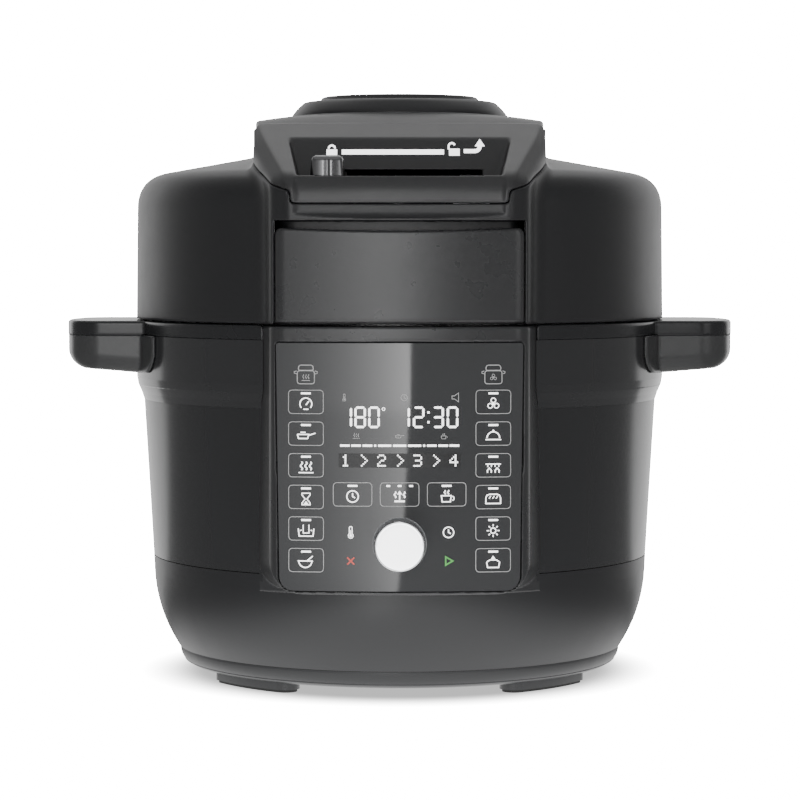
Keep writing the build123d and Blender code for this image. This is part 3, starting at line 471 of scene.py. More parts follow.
# ------------------------------------------------------------------ finishes
def group(name, inputs, outputs):
    """New shader group with number or colour sockets; returns the tree and its two end nodes."""
    tree = bpy.data.node_groups.new(name, "ShaderNodeTree")
    for label, kind, value in inputs:
        socket = tree.interface.new_socket(name=label, in_out="INPUT", socket_type=f"NodeSocket{kind}")
        socket.default_value = value
    for label, kind in outputs:
        tree.interface.new_socket(name=label, in_out="OUTPUT", socket_type=f"NodeSocket{kind}")
    return tree, tree.nodes.new("NodeGroupInput"), tree.nodes.new("NodeGroupOutput")


def maths(tree, operation, a, b=None):
    """A Math node; a and b are sockets or numbers."""
    node = tree.nodes.new("ShaderNodeMath")
    node.operation = operation
    for socket, value in zip(node.inputs, (a, b)):
        if isinstance(value, bpy.types.NodeSocket):
            tree.links.new(value, socket)
        elif value is not None:
            socket.default_value = value
    return node.outputs[0]


def distance(tree, a, b):
    """Length of the flat vector (a, b)."""
    squares = maths(tree, "ADD", maths(tree, "MULTIPLY", a, a), maths(tree, "MULTIPLY", b, b))
    return maths(tree, "SQRT", squares)


def noise(tree, scale, detail, vector=None):
    """A Noise texture over the piece; scale is a socket or a number, per metre."""
    node = tree.nodes.new("ShaderNodeTexNoise")
    node.inputs["Detail"].default_value = detail
    if isinstance(scale, bpy.types.NodeSocket):
        tree.links.new(scale, node.inputs["Scale"])
    else:
        node.inputs["Scale"].default_value = scale
    if vector is None:
        vector = tree.nodes.new("ShaderNodeTexCoord").outputs["Object"]
    tree.links.new(vector, node.inputs["Vector"])
    return node.outputs["Fac"]


def grain_group():
    """Fine moulded grain: a height for a Bump node."""
    tree, start, end = group("moulded_grain", [("Scale", "Float", 2600.0), ("Pits", "Float", 0.3)],
                             [("Height", "Float")])
    fine = noise(tree, start.outputs["Scale"], 3.0)
    coarse = noise(tree, maths(tree, "MULTIPLY", start.outputs["Scale"], 0.31), 1.0)
    pits = maths(tree, "MULTIPLY", coarse, start.outputs["Pits"])
    tree.links.new(maths(tree, "ADD", fine, pits), end.inputs["Height"])
    return tree


def mottle_group():
    """Slow drift in tone and gloss, as on a handled moulding."""
    tree, start, end = group(
        "surface_drift",
        [("Colour", "Color", (0.5, 0.5, 0.5, 1.0)), ("Tone", "Float", 0.1), ("Gloss", "Float", 0.4),
         ("Gloss drift", "Float", 0.05), ("Scale", "Float", 14.0)],
        [("Colour", "Color"), ("Roughness", "Float")])
    slow = maths(tree, "SUBTRACT", noise(tree, start.outputs["Scale"], 4.0), 0.5)
    finer = maths(tree, "MULTIPLY", start.outputs["Scale"], 6.0)
    smear = maths(tree, "SUBTRACT", noise(tree, finer, 3.0), 0.5)
    lift = maths(tree, "ADD", maths(tree, "MULTIPLY", slow, start.outputs["Tone"]), 1.0)
    scaled = tree.nodes.new("ShaderNodeVectorMath")
    scaled.operation = "SCALE"
    tree.links.new(start.outputs["Colour"], scaled.inputs[0])
    tree.links.new(lift, scaled.inputs["Scale"])
    tree.links.new(scaled.outputs[0], end.inputs["Colour"])
    drift = maths(tree, "MULTIPLY", maths(tree, "ADD", slow, smear), start.outputs["Gloss drift"])
    tree.links.new(maths(tree, "ADD", start.outputs["Gloss"], drift), end.inputs["Roughness"])
    return tree


def brushing_group():
    """Fine lines that run round the pot's axis, as left by spinning and polishing."""
    tree, start, end = group("spun_lines", [("Scale", "Float", 900.0)],
                             [("Height", "Float"), ("Mask", "Float")])
    place = tree.nodes.new("ShaderNodeTexCoord").outputs["Object"]
    split = tree.nodes.new("ShaderNodeSeparateXYZ")
    tree.links.new(place, split.inputs[0])
    flat = distance(tree, split.outputs[0], split.outputs[1])
    around = maths(tree, "ARCTAN2", split.outputs[1], split.outputs[0])
    joined_up = tree.nodes.new("ShaderNodeCombineXYZ")
    tree.links.new(flat, joined_up.inputs[0])
    tree.links.new(maths(tree, "MULTIPLY", around, 0.004), joined_up.inputs[1])
    tree.links.new(split.outputs[2], joined_up.inputs[2])
    lines = noise(tree, start.outputs["Scale"], 4.0, joined_up.outputs[0])
    tree.links.new(lines, end.inputs["Height"])
    tree.links.new(lines, end.inputs["Mask"])
    return tree


GROUPS = {}


def shared(kind):
    """The one group of a kind, made when it is first wanted."""
    makers = {"grain": grain_group, "drift": mottle_group, "brushing": brushing_group}
    if kind not in GROUPS:
        GROUPS[kind] = makers[kind]()
    return GROUPS[kind]


def placed(tree, kind, **values):
    """A shared group set in a material with its own values; underscores stand for spaces."""
    node = tree.nodes.new("ShaderNodeGroup")
    node.node_tree = shared(kind)
    for label, value in values.items():
        node.inputs[label.replace("_", " ")].default_value = value
    return node


COAT_ROUGHNESS = 0.05
REFRACTION = 1.5


def finish(name, colour, gloss, metal=0.0, tone=0.12, drift=0.05, grain=2600.0, bump=0.00004, brushed=False,
           coat=0.0, clear=0.0, glow=0.0):
    """A finish: drifting colour and gloss over a fine grain or spun lines."""
    material = bpy.data.materials.new(name)
    material.use_nodes = True
    tree = material.node_tree
    shader = tree.nodes["Principled BSDF"]
    rgba = (*colour, 1.0)
    surface_drift = placed(tree, "drift", Colour=rgba, Tone=tone, Gloss=gloss, Gloss_drift=drift)
    tree.links.new(surface_drift.outputs["Colour"], shader.inputs["Base Color"])
    texture = placed(tree, "brushing") if brushed else placed(tree, "grain", Scale=grain)
    rough = surface_drift.outputs["Roughness"]
    if brushed:
        rough = maths(tree, "ADD", rough, maths(tree, "MULTIPLY", texture.outputs["Mask"], 0.12))
    tree.links.new(rough, shader.inputs["Roughness"])
    relief = tree.nodes.new("ShaderNodeBump")
    relief.inputs["Distance"].default_value = bump
    relief.inputs["Strength"].default_value = 0.6
    tree.links.new(texture.outputs["Height"], relief.inputs["Height"])
    tree.links.new(relief.outputs["Normal"], shader.inputs["Normal"])
    shader.inputs["Metallic"].default_value = metal
    shader.inputs["Coat Weight"].default_value = coat
    shader.inputs["Coat Roughness"].default_value = COAT_ROUGHNESS
    shader.inputs["Transmission Weight"].default_value = clear
    shader.inputs["IOR"].default_value = REFRACTION
    # Emission: the light of the lit marks, and a painted glow on the dial and on the printed marks.
    if glow:
        shader.inputs["Emission Color"].default_value = rgba
        shader.inputs["Emission Strength"].default_value = glow
    material.diffuse_color = rgba
    return material


FINISHES = {
    "cover_plastic": dict(colour=(0.017, 0.0175, 0.019), gloss=0.36, drift=0.06),
    "lid_plastic": dict(colour=(0.017, 0.0175, 0.019), gloss=0.40, drift=0.05),
    "panel_plastic": dict(colour=(0.032, 0.0325, 0.034), gloss=0.28, drift=0.04, bump=0.00002),
    "coated_steel": dict(colour=(0.022, 0.0225, 0.024), gloss=0.22, drift=0.05, coat=0.1, bump=0.00001),
    "touch_glass": dict(colour=(0.052, 0.053, 0.055), gloss=0.05, drift=0.02, bump=0.000002, tone=0.03),
    # grip_plastic: dark plastic lifted above the other black plastics, a painted sheen that stands in for the
    # light on the handles' front faces.
    "grip_plastic": dict(colour=(0.050, 0.051, 0.052), gloss=0.30),
    "metal_trim": dict(colour=(0.62, 0.63, 0.64), gloss=0.22, metal=1.0, drift=0.08, bump=0.00001),
    "chrome_trim": dict(colour=(0.78, 0.79, 0.80), gloss=0.06, metal=1.0, drift=0.02, bump=0.000003),
    # dial_white glows: a painted glow that keeps the dial's white face bright; the dial holds no lamp.
    "dial_white": dict(colour=(0.90, 0.91, 0.92), gloss=0.22, tone=0.02, bump=0.000005, glow=4.0),
    "pot_steel": dict(colour=(0.60, 0.60, 0.59), gloss=0.20, metal=1.0, brushed=True, bump=0.00002),
    "pressed_steel": dict(colour=(0.50, 0.50, 0.50), gloss=0.30, metal=1.0, drift=0.1),
    "cast_aluminium": dict(colour=(0.58, 0.58, 0.59), gloss=0.42, metal=1.0, grain=1500.0, bump=0.00008),
    "element_sheath": dict(colour=(0.13, 0.12, 0.115), gloss=0.45, metal=0.8, tone=0.5, drift=0.15),
    "seal_silicone": dict(colour=(0.66, 0.66, 0.63), gloss=0.40, clear=0.15, tone=0.05),
    "foot_rubber": dict(colour=(0.012, 0.012, 0.012), gloss=0.75),
    "board_green": dict(colour=(0.02, 0.11, 0.05), gloss=0.30),
    "module_white": dict(colour=(0.75, 0.75, 0.72), gloss=0.5),
    "cup_clear": dict(colour=(0.75, 0.80, 0.82), gloss=0.08, clear=0.85, tone=0.03, bump=0.000005),
    "motor_steel": dict(colour=(0.38, 0.38, 0.39), gloss=0.32, metal=1.0),
    "fan_aluminium": dict(colour=(0.62, 0.62, 0.63), gloss=0.28, metal=1.0, brushed=True),
    "bezel_plastic": dict(colour=(0.032, 0.0325, 0.034), gloss=0.36, drift=0.05),
    "knob_chrome": dict(colour=(0.21, 0.21, 0.215), gloss=0.20, metal=1.0, drift=0.04, bump=0.000005),
    "belt_plastic": dict(colour=(0.024, 0.0245, 0.026), gloss=0.17, drift=0.03, bump=0.000008, coat=0.3),
    "collar_plastic": dict(colour=(0.017, 0.0175, 0.019), gloss=0.26, drift=0.05, bump=0.00002),
    "gloss_black": dict(colour=(0.008, 0.008, 0.009), gloss=0.12, drift=0.03, bump=0.00001),
    "black_plastic": dict(colour=(0.010, 0.010, 0.011), gloss=0.5),
    # mark_white: the light of lit figures and key pictograms; on the printed latch marks its glow is painted.
    "mark_white": dict(colour=(0.90, 0.90, 0.90), gloss=0.5, tone=0.02, glow=3.0, bump=0.000002),
    # mark_grey: printed marks with a faint painted glow.
    "mark_grey": dict(colour=(0.52, 0.52, 0.52), gloss=0.5, tone=0.02, glow=0.12, bump=0.000002),
    "mark_dim": dict(colour=(0.011, 0.011, 0.012), gloss=0.35, tone=0.02, bump=0.000002),
    "mark_red": dict(colour=(0.62, 0.09, 0.07), gloss=0.5, tone=0.02, glow=0.35, bump=0.000002),
    "mark_green": dict(colour=(0.10, 0.42, 0.09), gloss=0.5, tone=0.02, glow=0.35, bump=0.000002),
}
MADE = {}


def coated(piece, name):
    """Gives a piece one of the finishes, in the colour chosen for it."""
    if name not in MADE:
        values = dict(FINISHES[name])
        values["colour"] = tuple(getattr(bpy.context.scene.cooker_colours, name, values["colour"]))
        MADE[name] = finish(name, **values)
    piece.data.materials.clear()
    piece.data.materials.append(MADE[name])
    return piece


def fitted(piece, body, slot, finish_name=None, stands_for=()):
    """Sets a finished piece on its body of the frame."""
    coated(piece, finish_name or slot)
    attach(piece, body)
    if stands_for:
        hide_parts(*stands_for)
    return piece


# ------------------------------------------------------------------ lid pieces
def make_lid_cover(step, wall):
    """The lid's main cover, hollow, with the seats of its front plate, bezel, cap and steam outlet."""
    def shape(x, y, z):
        form = lid_form(x, y, z)
        thick = wall + 6.0 * np.clip((-134.0 - y) / 6.0, 0.0, 1.0)
        shell = cut(form, form + thick)
        shell = common(shell, LID_Z - z, 0.8)
        groove = within(np.abs(x) - GROOVE_X, z - LEDGE_Z + 0.4, COVER_HIGH.z - 3.6 - z)
        groove = within(cut(groove, bulge(x, y, z) + GROOVE_DEPTH), y + 120.0)
        seat = cut(cover_pocket(x, y, z, 0.55), form + POCKET_DEPTH)
        shell = cut(shell, np.minimum(seat, groove))
        shell = cut(shell, bezel_region(x, y, z, 0.3))
        r = np.hypot(x, y)
        deck = within(r - DECK_R[1], DECK_R[0] - r, np.abs(z - DECK_Z) - 1.5)
        shell = np.minimum(shell, within(deck, form))
        shell = cut(shell, within(r - CAP_HIGH.x - 0.35, CAP_LOW.z - 0.1 - z))
        vent = np.hypot(x - VENT_X, y - VENT_Y)
        pad = within(vent - VENT_PAD_R[1], VENT_PAD_R[0] - vent, np.abs(z - VENT_PAD_Z) - 1.4)
        shell = np.minimum(shell, pad)
        shell = cut(shell, within(vent - VENT_R, VENT_SEAT_Z - z))
        for side in (-1, 1):
            notch = within(np.abs(x - side * KNUCKLE_X) - 6.0, z - HINGE_Z - 7.2, 136.0 - y)
            shell = cut(shell, notch)
            rows = np.abs((z - 232.0 + ROW_PITCH / 2) % ROW_PITCH - ROW_PITCH / 2) - 1.8
            slots = within(np.abs(z - COOLING_Z[0]) - COOLING_Z[1], 130.0 - y)
            slots = within(np.abs(x - side * COOLING_X[0]) - COOLING_X[1], slots)
            shell = cut(shell, within(slots, rows))
        return shell
    made = moulded("lid_cover", shape, SHELL_LOW, (SHELL_HIGH.x, SHELL_HIGH.y, CROWN_Z + 1), step)
    return fitted(made, "lid", "cover_plastic", "lid_plastic", ["lid_shell"])


def make_bezel(step, wall):
    """The sloped latch bezel with its recess and the slot of the latch lever."""
    def shape(x, y, z):
        form = lid_form(x, y, z)
        region = bezel_region(x, y, z, -0.1)
        well = recess(x, y, z)
        hollow = within(form + wall, 2.4 - well)
        body = cut(common(form, region, 1.0), hollow)
        body = edge(body, -well, 1.1)
        slot = within(np.abs(x) - SLOT_X, np.abs(z - SLOT_Z) - SLOT_HALF)
        return cut(body, within(slot, y + 100.0))
    low = (-BLOCK_X, NOSE_Y - 1, STRIP_Z)
    made = moulded("bezel", shape, low, (BLOCK_X, BEZEL_REAR_Y + 1, 326.0), step)
    return fitted(made, "lid", "cover_plastic", "bezel_plastic", ["latch_bezel"])


def make_front_cover(step):
    """Smooth plate on the front of the lid."""
    def shape(x, y, z):
        form = bulge(x, y, z)
        outline = edge(cover_pocket(x, y, z, 0.0), COVER_LOW.z - z, 1.0)
        plate = edge(form, outline, 1.6)
        return cut(plate, form + PLATE_T)
    low = (COVER_LOW.x - 1, BULGE_FRONT, COVER_LOW.z)
    made = moulded("front_cover", shape, low, (COVER_HIGH.x + 1, -146.0, COVER_HIGH.z + 1), step)
    return fitted(made, "lid", "panel_plastic", "panel_plastic", ["lid_front_cover"])


def make_cap():
    """Round cap: a concave flare up to a flat tier, a raised centre and the groove round its inlay."""
    r, low = CAP_HIGH.x, CAP_LOW.z
    flare = [(63.0, 324.6), (61.6, 326.6), (59.8, 328.7), (57.6, 330.8), (56.2, 332.0)]
    profile = [(0.0, 331.6), (43.0, 331.6), (52.0, 328.4), (r - 6.0, low), (r - 0.5, low), (r, low + 0.5),
               (r, 324.0), *flare, (54.6, 332.5), (47.4, 332.8), (46.6, 333.0),
               (45.9, 334.4), (45.3, 335.1), (44.2, 335.5), (41.3, 335.6), (41.0, 335.4), (41.0, 334.4),
               (36.4, 334.4), (36.2, 334.5), (0.0, 334.5)]
    made = lathe("vent_cap", profile, 192)
    fitted(made, "lid", "cover_plastic", "lid_plastic", ["top_cap"])
    top = INLAY_HIGH.z
    inlay = lathe("cap_inlay", [(0, 334.7), (35.6, 334.7), (35.9, 334.9), (35.8, 335.2), (30, top - 0.5),
                                (18, top - 0.2), (0, top)], 128)
    return fitted(inlay, "lid", "black_plastic", "gloss_black", ["cap_disc"])


def make_latch(step):
    """Bright finger knob of the latch with a ridge down its face."""
    mid = (KNOB_LOW + KNOB_HIGH) / 2
    half = (KNOB_HIGH - KNOB_LOW) / 2

    def shape(x, y, z):
        ax = np.abs(x - mid.x)
        taper = (ax - half.x + (z - KNOB_LOW.z) * 0.09)
        front = (KNOB_LOW.y - y) + ax * ax * 0.022 + 0.8 * np.exp(-(ax / 1.1) ** 2)
        top = z - KNOB_HIGH.z + np.maximum(KNOB_LOW.y + 5.0 - y, 0.0) * 0.2
        body = edge(edge(taper, front, 2.2), top, 2.6)
        body = edge(body, y - KNOB_HIGH.y, 1.2)
        body = edge(body, KNOB_LOW.z - z, 0.6)
        hole = within(ax - 5.5, np.abs(z - SLOT_Z) - 1.4, -138.0 - y)
        return cut(body, hole)
    made = moulded("latch_handle", shape, KNOB_LOW, KNOB_HIGH, step)
    return fitted(made, "latch", "chrome_trim", "knob_chrome", ["latch_knob"])


# ------------------------------------------------------------------ base pieces
def ear_plan(x, y, inset):
    """Plan of both handle ears."""
    end = np.abs(x) - EAR_X + EAR_BOW * (y / EAR_Y) ** 2
    return edge(end + inset, np.abs(y) - EAR_Y + inset, max(EAR_CORNER - inset, 3.0))


def make_collar(step):
    """Rim collar with the flat tops of both handles."""
    def shape(x, y, z):
        r = np.hypot(x, y)
        plan = np.minimum(r - BODY_R, ear_plan(x, y, 0.0))
        body = edge(plan, z - SEAM_Z, 1.8)
        body = within(body, COLLAR_LOW.z - 0.35 - z)
        under = within(ear_plan(x, y, 3.0), HOLLOW_X - np.abs(x), z - SEAM_Z + 2.6)
        body = cut(body, np.minimum(under, r - COLLAR_BORE_R))
        spine = within(np.abs(x) - SPINE_X, SPINE_Y - y, z - SEAM_Z + 1.9)
        front = within(bulge(x, y, z) - 0.05, y + 90.0)
        return cut(body, np.minimum(spine, front))
    made = moulded("collar", shape, COLLAR_LOW, COLLAR_HIGH, step)
    return fitted(made, "base", "panel_plastic", "collar_plastic", ["rim_collar"])


def make_grips(step, lip):
    """Both handles, hollow from below, with the root that hugs the belt."""
    made = []
    for name, node, sign in (("grip_right", "right_grip", 1), ("grip_left", "left_grip", -1)):
        low, high = cad(node)

        def shape(x, y, z, sign=sign, low=low, high=high):
            x = x * sign
            r = np.hypot(x, y)
            floor = 174.0 + (x - 124.0) * 0.0747
            body = edge(ear_plan(x, y, 0.2), floor - z, 10.0)
            body = edge(body, z - high.z, 0.3)
            under = edge(within(ear_plan(x, y, lip), HOLLOW_X - x), z - HOLLOW_Z, 2.0)
            body = within(cut(body, under), BODY_R + 0.2 - r)
            pad = edge(np.abs(y) - GRIP_HIGH.y, PAD_Z - z, PAD_CORNER)
            pad = edge(pad, r - BODY_R - PAD_T, 0.8)
            pad = within(pad, BODY_R + 0.2 - r, z - high.z, -x)
            return np.minimum(body, pad)
        piece = moulded(name, shape, low, high, step)
        made.append(fitted(piece, "base", "grip_plastic", "grip_plastic", [node]))
    return made


def panel_outline(x, z):
    """Distance from the outline of the touch panel, seen from the front."""
    ax = np.abs(x)
    side = through(PANEL_HIGH.x, PANEL_HIGH.z, PANEL_HIGH.x - 1.7, PANEL_LOW.z, ax, z)
    return edge(edge(side, z - PANEL_HIGH.z, 2.0), PANEL_LOW.z - z, 8.0)


def make_fascia(step, seat_depth):
    """Bulged front housing of the base with the shallow seat of the touch panel."""
    low_z, high_z = FASCIA_LOW.z, FASCIA_HIGH.z

    def shape(x, y, z):
        form = bulge(x, y, z)
        side = through(BULGE_X, BULGE_Y, *BULGE_ROOT, np.abs(x), y) * -1.0
        outline = edge(side, low_z - z, FASCIA_CORNER)
        body = edge(within(form, outline), low_z - z, 5.0)
        body = edge(body, z - high_z, 1.6)
        skin = LOWER_R + np.maximum(z - LOWER_Z, 0.0) * LOWER_LEAN
        root = within(side - 1.5, low_z - 0.8 - z, np.hypot(x, y) - skin)
        body = np.minimum(body, within(root, z - high_z))
        wall = cut(body, body + FASCIA_WALL)
        seat = cut(panel_outline(x, z) - 0.6, form + seat_depth)
        wall = cut(wall, seat)
        around = np.hypot(x, z - DIAL_Z)
        hole = np.minimum(within(around - DIAL_HIGH.x - 1.2, y - DIAL_POCKET_Y), around - 5.0)
        window = within(np.abs(x) - WINDOW_X, np.abs(z - WINDOW_Z) - WINDOW_HALF)
        wall = cut(wall, np.minimum(hole, window))
        return within(wall, FASCIA_R - np.hypot(x, y))
    made = moulded("fascia", shape, FASCIA_LOW, (FASCIA_HIGH.x, -104.0, FASCIA_HIGH.z), step)
    return fitted(made, "base", "panel_plastic", "panel_plastic", ["control_fascia"])


def make_dial(rim):
    """White dial cap, kept pure white by a painted glow, and the polished ring round it."""
    r, front, back = DIAL_HIGH.x, DIAL_CAP_LOW.y, DIAL_CAP_HIGH.y
    inner = r - rim - 0.1
    depth = back - front
    face = [(0, 0.0), (inner - 2.6, 0.05), (inner - 1.5, 0.25), (inner - 0.6, 0.8), (inner - 0.1, 1.7),
            (inner - 0.1, depth), (inner - 2.0, depth), (inner - 2.0, 2.6), (0, 2.6)]
    ring_front = DIAL_LOW.y - front
    band = [(r - rim, depth), (r - rim, ring_front + 0.6), (r - rim + 0.2, ring_front + 0.12),
            (r - rim / 2, ring_front), (r - 0.25, ring_front + 0.12), (r, ring_front + 0.6), (r, depth),
            (r - rim, depth)]
    turn = Matrix.Translation((0, front * MM, DIAL_Z * MM)) @ Matrix.Rotation(math.radians(-90), 4, "X")
    cap = lathe("dial_face", face[::-1], 128)
    ring = lathe("dial_rim", band[::-1], 128)
    for piece in (cap, ring):
        piece.data.transform(turn)
        piece.data.update()
    fitted(cap, "dial", "dial_white", "dial_white", ["dial_knob"])
    return fitted(ring, "dial", "chrome_trim", "chrome_trim", ["dial_ring"])


# ------------------------------------------------------------------ printed marks
LINE = 0.34              # thin outline of a key
BOLD = 0.50              # stroke of a pictogram
ROW_Z = [165.3 - 17.02 * k for k in range(6)]
COLUMN_X = 50.2
MIDDLE_ROW_Z, MIDDLE_X = 115.8, 25.2
LABEL_Z, COMMAND_Z = 95.4, 80.0
LABEL_X = 26.2


def box_outline(width, height, radius=0.0):
    """Corners of a rectangle about the origin, rounded when radius is given."""
    w, h = width / 2, height / 2
    corners = [(-w, -h), (w, -h), (w, h), (-w, h)]
    return rounded_path(corners, radius) if radius else corners


def bar(x, z, width, height):
    """A filled rectangle."""
    return patch([(x + px, z + pz) for px, pz in box_outline(width, height)])


def wave(x, low, high, swing=0.5, turns=1.5):
    """An upright wavy line."""
    steps = 14
    return [(x + swing * math.sin(2 * math.pi * turns * k / steps), low + (high - low) * k / steps)
            for k in range(steps + 1)]


def icon_pressure():
    """A dial gauge with its needle."""
    return (stroke(circle(0, 0, 2.9, -40, 220), BOLD) + stroke([(0, -0.5), (1.5, 1.4)], BOLD)
            + bar(0, -2.6, 2.4, BOLD))


def icon_pan():
    """A frying pan."""
    return (stroke([(-4.2, 0.6), (-3.6, -1.4), (0.8, -1.4), (1.4, 0.6), (-4.2, 0.6)], BOLD)
            + stroke([(1.3, 0.2), (4.6, 1.2)], BOLD) + stroke([(-2.6, 1.6), (-0.2, 1.6)], BOLD))


def icon_steam():
    """Three rising wavy lines over a tray."""
    rising = sum((stroke(wave(x, -1.3, 2.7), BOLD) for x in (-2.2, 0.0, 2.2)), [])
    return rising + bar(0, -2.6, 7.2, BOLD)


def icon_hourglass():
    """An hourglass."""
    right = [(2.0, 2.8), (2.0, 2.0), (0.4, 0.0), (2.0, -2.0), (2.0, -2.8)]
    glass = [(-2.0, 2.8), *right, (-2.0, -2.8), (-2.0, -2.0), (-0.4, 0.0), (-2.0, 2.0)]
    return stroke(glass, BOLD * 0.8, True) + patch([(-1.1, -2.5), (1.1, -2.5), (0.0, -1.1)])


def icon_bath():
    """A pouch hanging in a water bath."""
    return (stroke([(-3.8, 1.0), (-3.4, -2.7), (3.4, -2.7), (3.8, 1.0)], BOLD)
            + stroke([(-1.4, 2.9), (-1.4, -1.2), (1.4, -1.2), (1.4, 2.9)], BOLD * 0.8)
            + stroke([(-3.0, -0.1), (-2.2, 0.3)], BOLD * 0.8) + stroke([(2.2, 0.3), (3.0, -0.1)], BOLD * 0.8))


def icon_bowl():
    """A bowl with a spoon."""
    return (stroke(circle(-0.4, 0.6, 3.2, 180, 360), BOLD) + bar(-0.4, 0.6, 7.4, BOLD)
            + stroke([(0.6, 0.8), (3.2, 3.0)], BOLD))


def icon_fan():
    """A three-bladed fan."""
    blades = []
    for turn in (90, 210, 330):
        a = math.radians(turn)
        cx, cz = 1.75 * math.cos(a), 1.75 * math.sin(a)
        blades += stroke(circle(cx, cz, 1.15, 0, 360, 14)[:-1], BOLD * 0.8, True)
    return blades + patch(circle(0, 0, 0.55, 0, 330, 11))


def icon_cloche():
    """A serving dish under its cover."""
    return (stroke(circle(0, -1.2, 3.1, 0, 180), BOLD) + bar(0, -1.9, 7.6, BOLD)
            + patch(circle(0, 2.4, 0.5, 0, 330, 11)))


def icon_grill():
    """A grill rack over two flames."""
    rack = bar(0, 1.6, 7.4, BOLD) + sum((bar(x, 1.0, BOLD * 0.8, 1.6) for x in (-2.7, -0.9, 0.9, 2.7)), [])
    for x in (-1.9, 1.9):
        rack += stroke([(x - 0.9, -2.6), (x - 1.0, -1.5), (x, -0.3), (x + 1.0, -1.5), (x + 0.9, -2.6)], BOLD)
    return rack


def icon_loaf():
    """A loaf with three cuts."""
    crust = [(-3.6, -2.2), (3.6, -2.2), (3.6, 0.6), (3.0, 1.9), (1.8, 2.3)]
    crust += [(-1.8, 2.3), (-3.0, 1.9), (-3.6, 0.6)]
    cuts = sum((stroke([(x - 0.3, 0.2), (x + 0.5, 1.5)], BOLD * 0.8) for x in (-1.7, 0.0, 1.7)), [])
    return stroke(crust, BOLD, True) + cuts


def icon_sun():
    """A sun for drying."""
    rays = []
    for k in range(8):
        a = math.radians(45 * k)
        rays += stroke([(r * math.cos(a), r * math.sin(a)) for r in (2.1, 3.1)], BOLD * 0.9)
    return stroke(circle(0, 0, 1.3, 0, 360, 18)[:-1], BOLD, True) + rays


def icon_rising():
    """Dough that rises in its tin."""
    return (stroke([(-3.2, 0.2), (-2.7, -2.6), (2.7, -2.6), (3.2, 0.2)], BOLD)
            + stroke([(-2.9, 0.3), (-1.6, 1.1), (1.6, 1.1), (2.9, 0.3)], BOLD) + up_arrow(0, 2.3, 1.1))


def up_arrow(x, z, size):
    """A filled arrowhead that points up."""
    return patch([(x - size, z - size * 0.7), (x + size, z - size * 0.7), (x, z + size * 0.8)])


def icon_clock(size=1.0):
    """A clock face."""
    hands = stroke([(0, 1.6), (0, 0), (1.2, -0.7)], BOLD)
    return shifted(stroke(circle(0, 0, 2.8, 0, 360, 28)[:-1], BOLD, True) + hands, 0, 0, size)


def icon_release():
    """Steam that leaves a valve."""
    steam = stroke(wave(-2.2, -0.6, 2.4, 0.45), BOLD) + stroke(wave(2.2, -0.6, 2.4, 0.45), BOLD)
    return steam + bar(0, -0.2, BOLD, 2.8) + up_arrow(0, 1.9, 1.2) + bar(0, -2.3, 5.0, BOLD * 1.6)


def icon_warm():
    """A cup with a wavy line of warmth."""
    cup = [(-2.6, 0.4), (-2.2, -2.6), (1.8, -2.6), (2.2, 0.4)]
    handle = circle(2.6, -0.9, 1.0, -80, 80, 8)
    warmth = sum((stroke(wave(x, 1.0, 3.0, 0.35), BOLD * 0.8) for x in (-0.9, 0.7)), [])
    return stroke(cup, BOLD, True) + stroke(handle, BOLD * 0.8) + warmth


def icon_thermometer(size=1.0):
    """A thermometer."""
    tube = circle(0, 2.4, 0.75, 0, 180, 8) + circle(0, -1.8, 1.3, 125, 415, 18)
    return shifted(stroke(tube, BOLD * 0.8, True) + patch(circle(0, -1.8, 0.7, 0, 330, 11))
                   + bar(0, -0.2, 0.4, 2.6), 0, 0, size)


def icon_pot(inner):
    """A covered pot with two handles, round an inner sign."""
    body = rounded_path([(-4.6, 2.0), (-4.6, -5.0), (4.6, -5.0), (4.6, 2.0)], 1.5)
    cover = rounded_path([(-4.2, 2.2), (-3.7, 5.0), (3.7, 5.0), (4.2, 2.2)], 1.3)
    lugs = []
    for side in (-1, 1):
        lugs += stroke([(side * 4.9, 1.9), (side * 6.2, 1.5), (side * 6.2, 0.7), (side * 4.9, 0.3)], LINE)
    pot = stroke(body, LINE * 1.3, True) + stroke(cover, LINE * 1.3, True)
    return pot + lugs + shifted(inner, 0, -1.6, 0.62)


def icon_speaker():
    """Outline of a small loudspeaker."""
    return stroke([(-1.9, 0.8), (-0.6, 0.8), (1.6, 2.4), (1.6, -2.4), (-0.6, -0.8), (-1.9, -0.8)], LINE, True)


SEGMENTS = {0: "abcdef", 1: "bc", 2: "abged", 3: "abgcd", 8: "abcdefg"}
FIGURE_Z, PROGRESS_Z, DOTTED_Z = 157.2, 142.0, 134.0     # the display's three lines


def digit(value, x, z):
    """Seven-bar figure, x and z at its middle."""
    w, h, t = 5.0, 10.4, 1.15
    bars = {"a": (0, h / 2, 0), "g": (0, 0, 0), "d": (0, -h / 2, 0), "f": (-w / 2, h / 4, 1),
            "b": (w / 2, h / 4, 1), "e": (-w / 2, -h / 4, 1), "c": (w / 2, -h / 4, 1)}
    shapes = []
    for letter in SEGMENTS[value]:
        bx, bz, upright = bars[letter]
        length = (h / 2 if upright else w) - 0.35
        a, b = length / 2, t / 2
        flat = [(-a, 0), (-a + b, -b), (a - b, -b), (a, 0), (a - b, b), (-a + b, b)]
        corners = [(pz, px) if upright else (px, pz) for px, pz in flat]
        shapes += patch([(x + bx + px, z + bz + pz) for px, pz in corners])
    return shapes


DOTS = {"1": ("00100", "01100", "00100", "00100", "00100", "00100", "01110"),
        "2": ("01110", "10001", "00001", "00110", "01000", "10000", "11111"),
        "3": ("11110", "00001", "00001", "01110", "00001", "00001", "11110"),
        "4": ("00010", "00110", "01010", "10010", "11111", "00010", "00010"),
        ">": ("01000", "00100", "00010", "00001", "00010", "00100", "01000")}


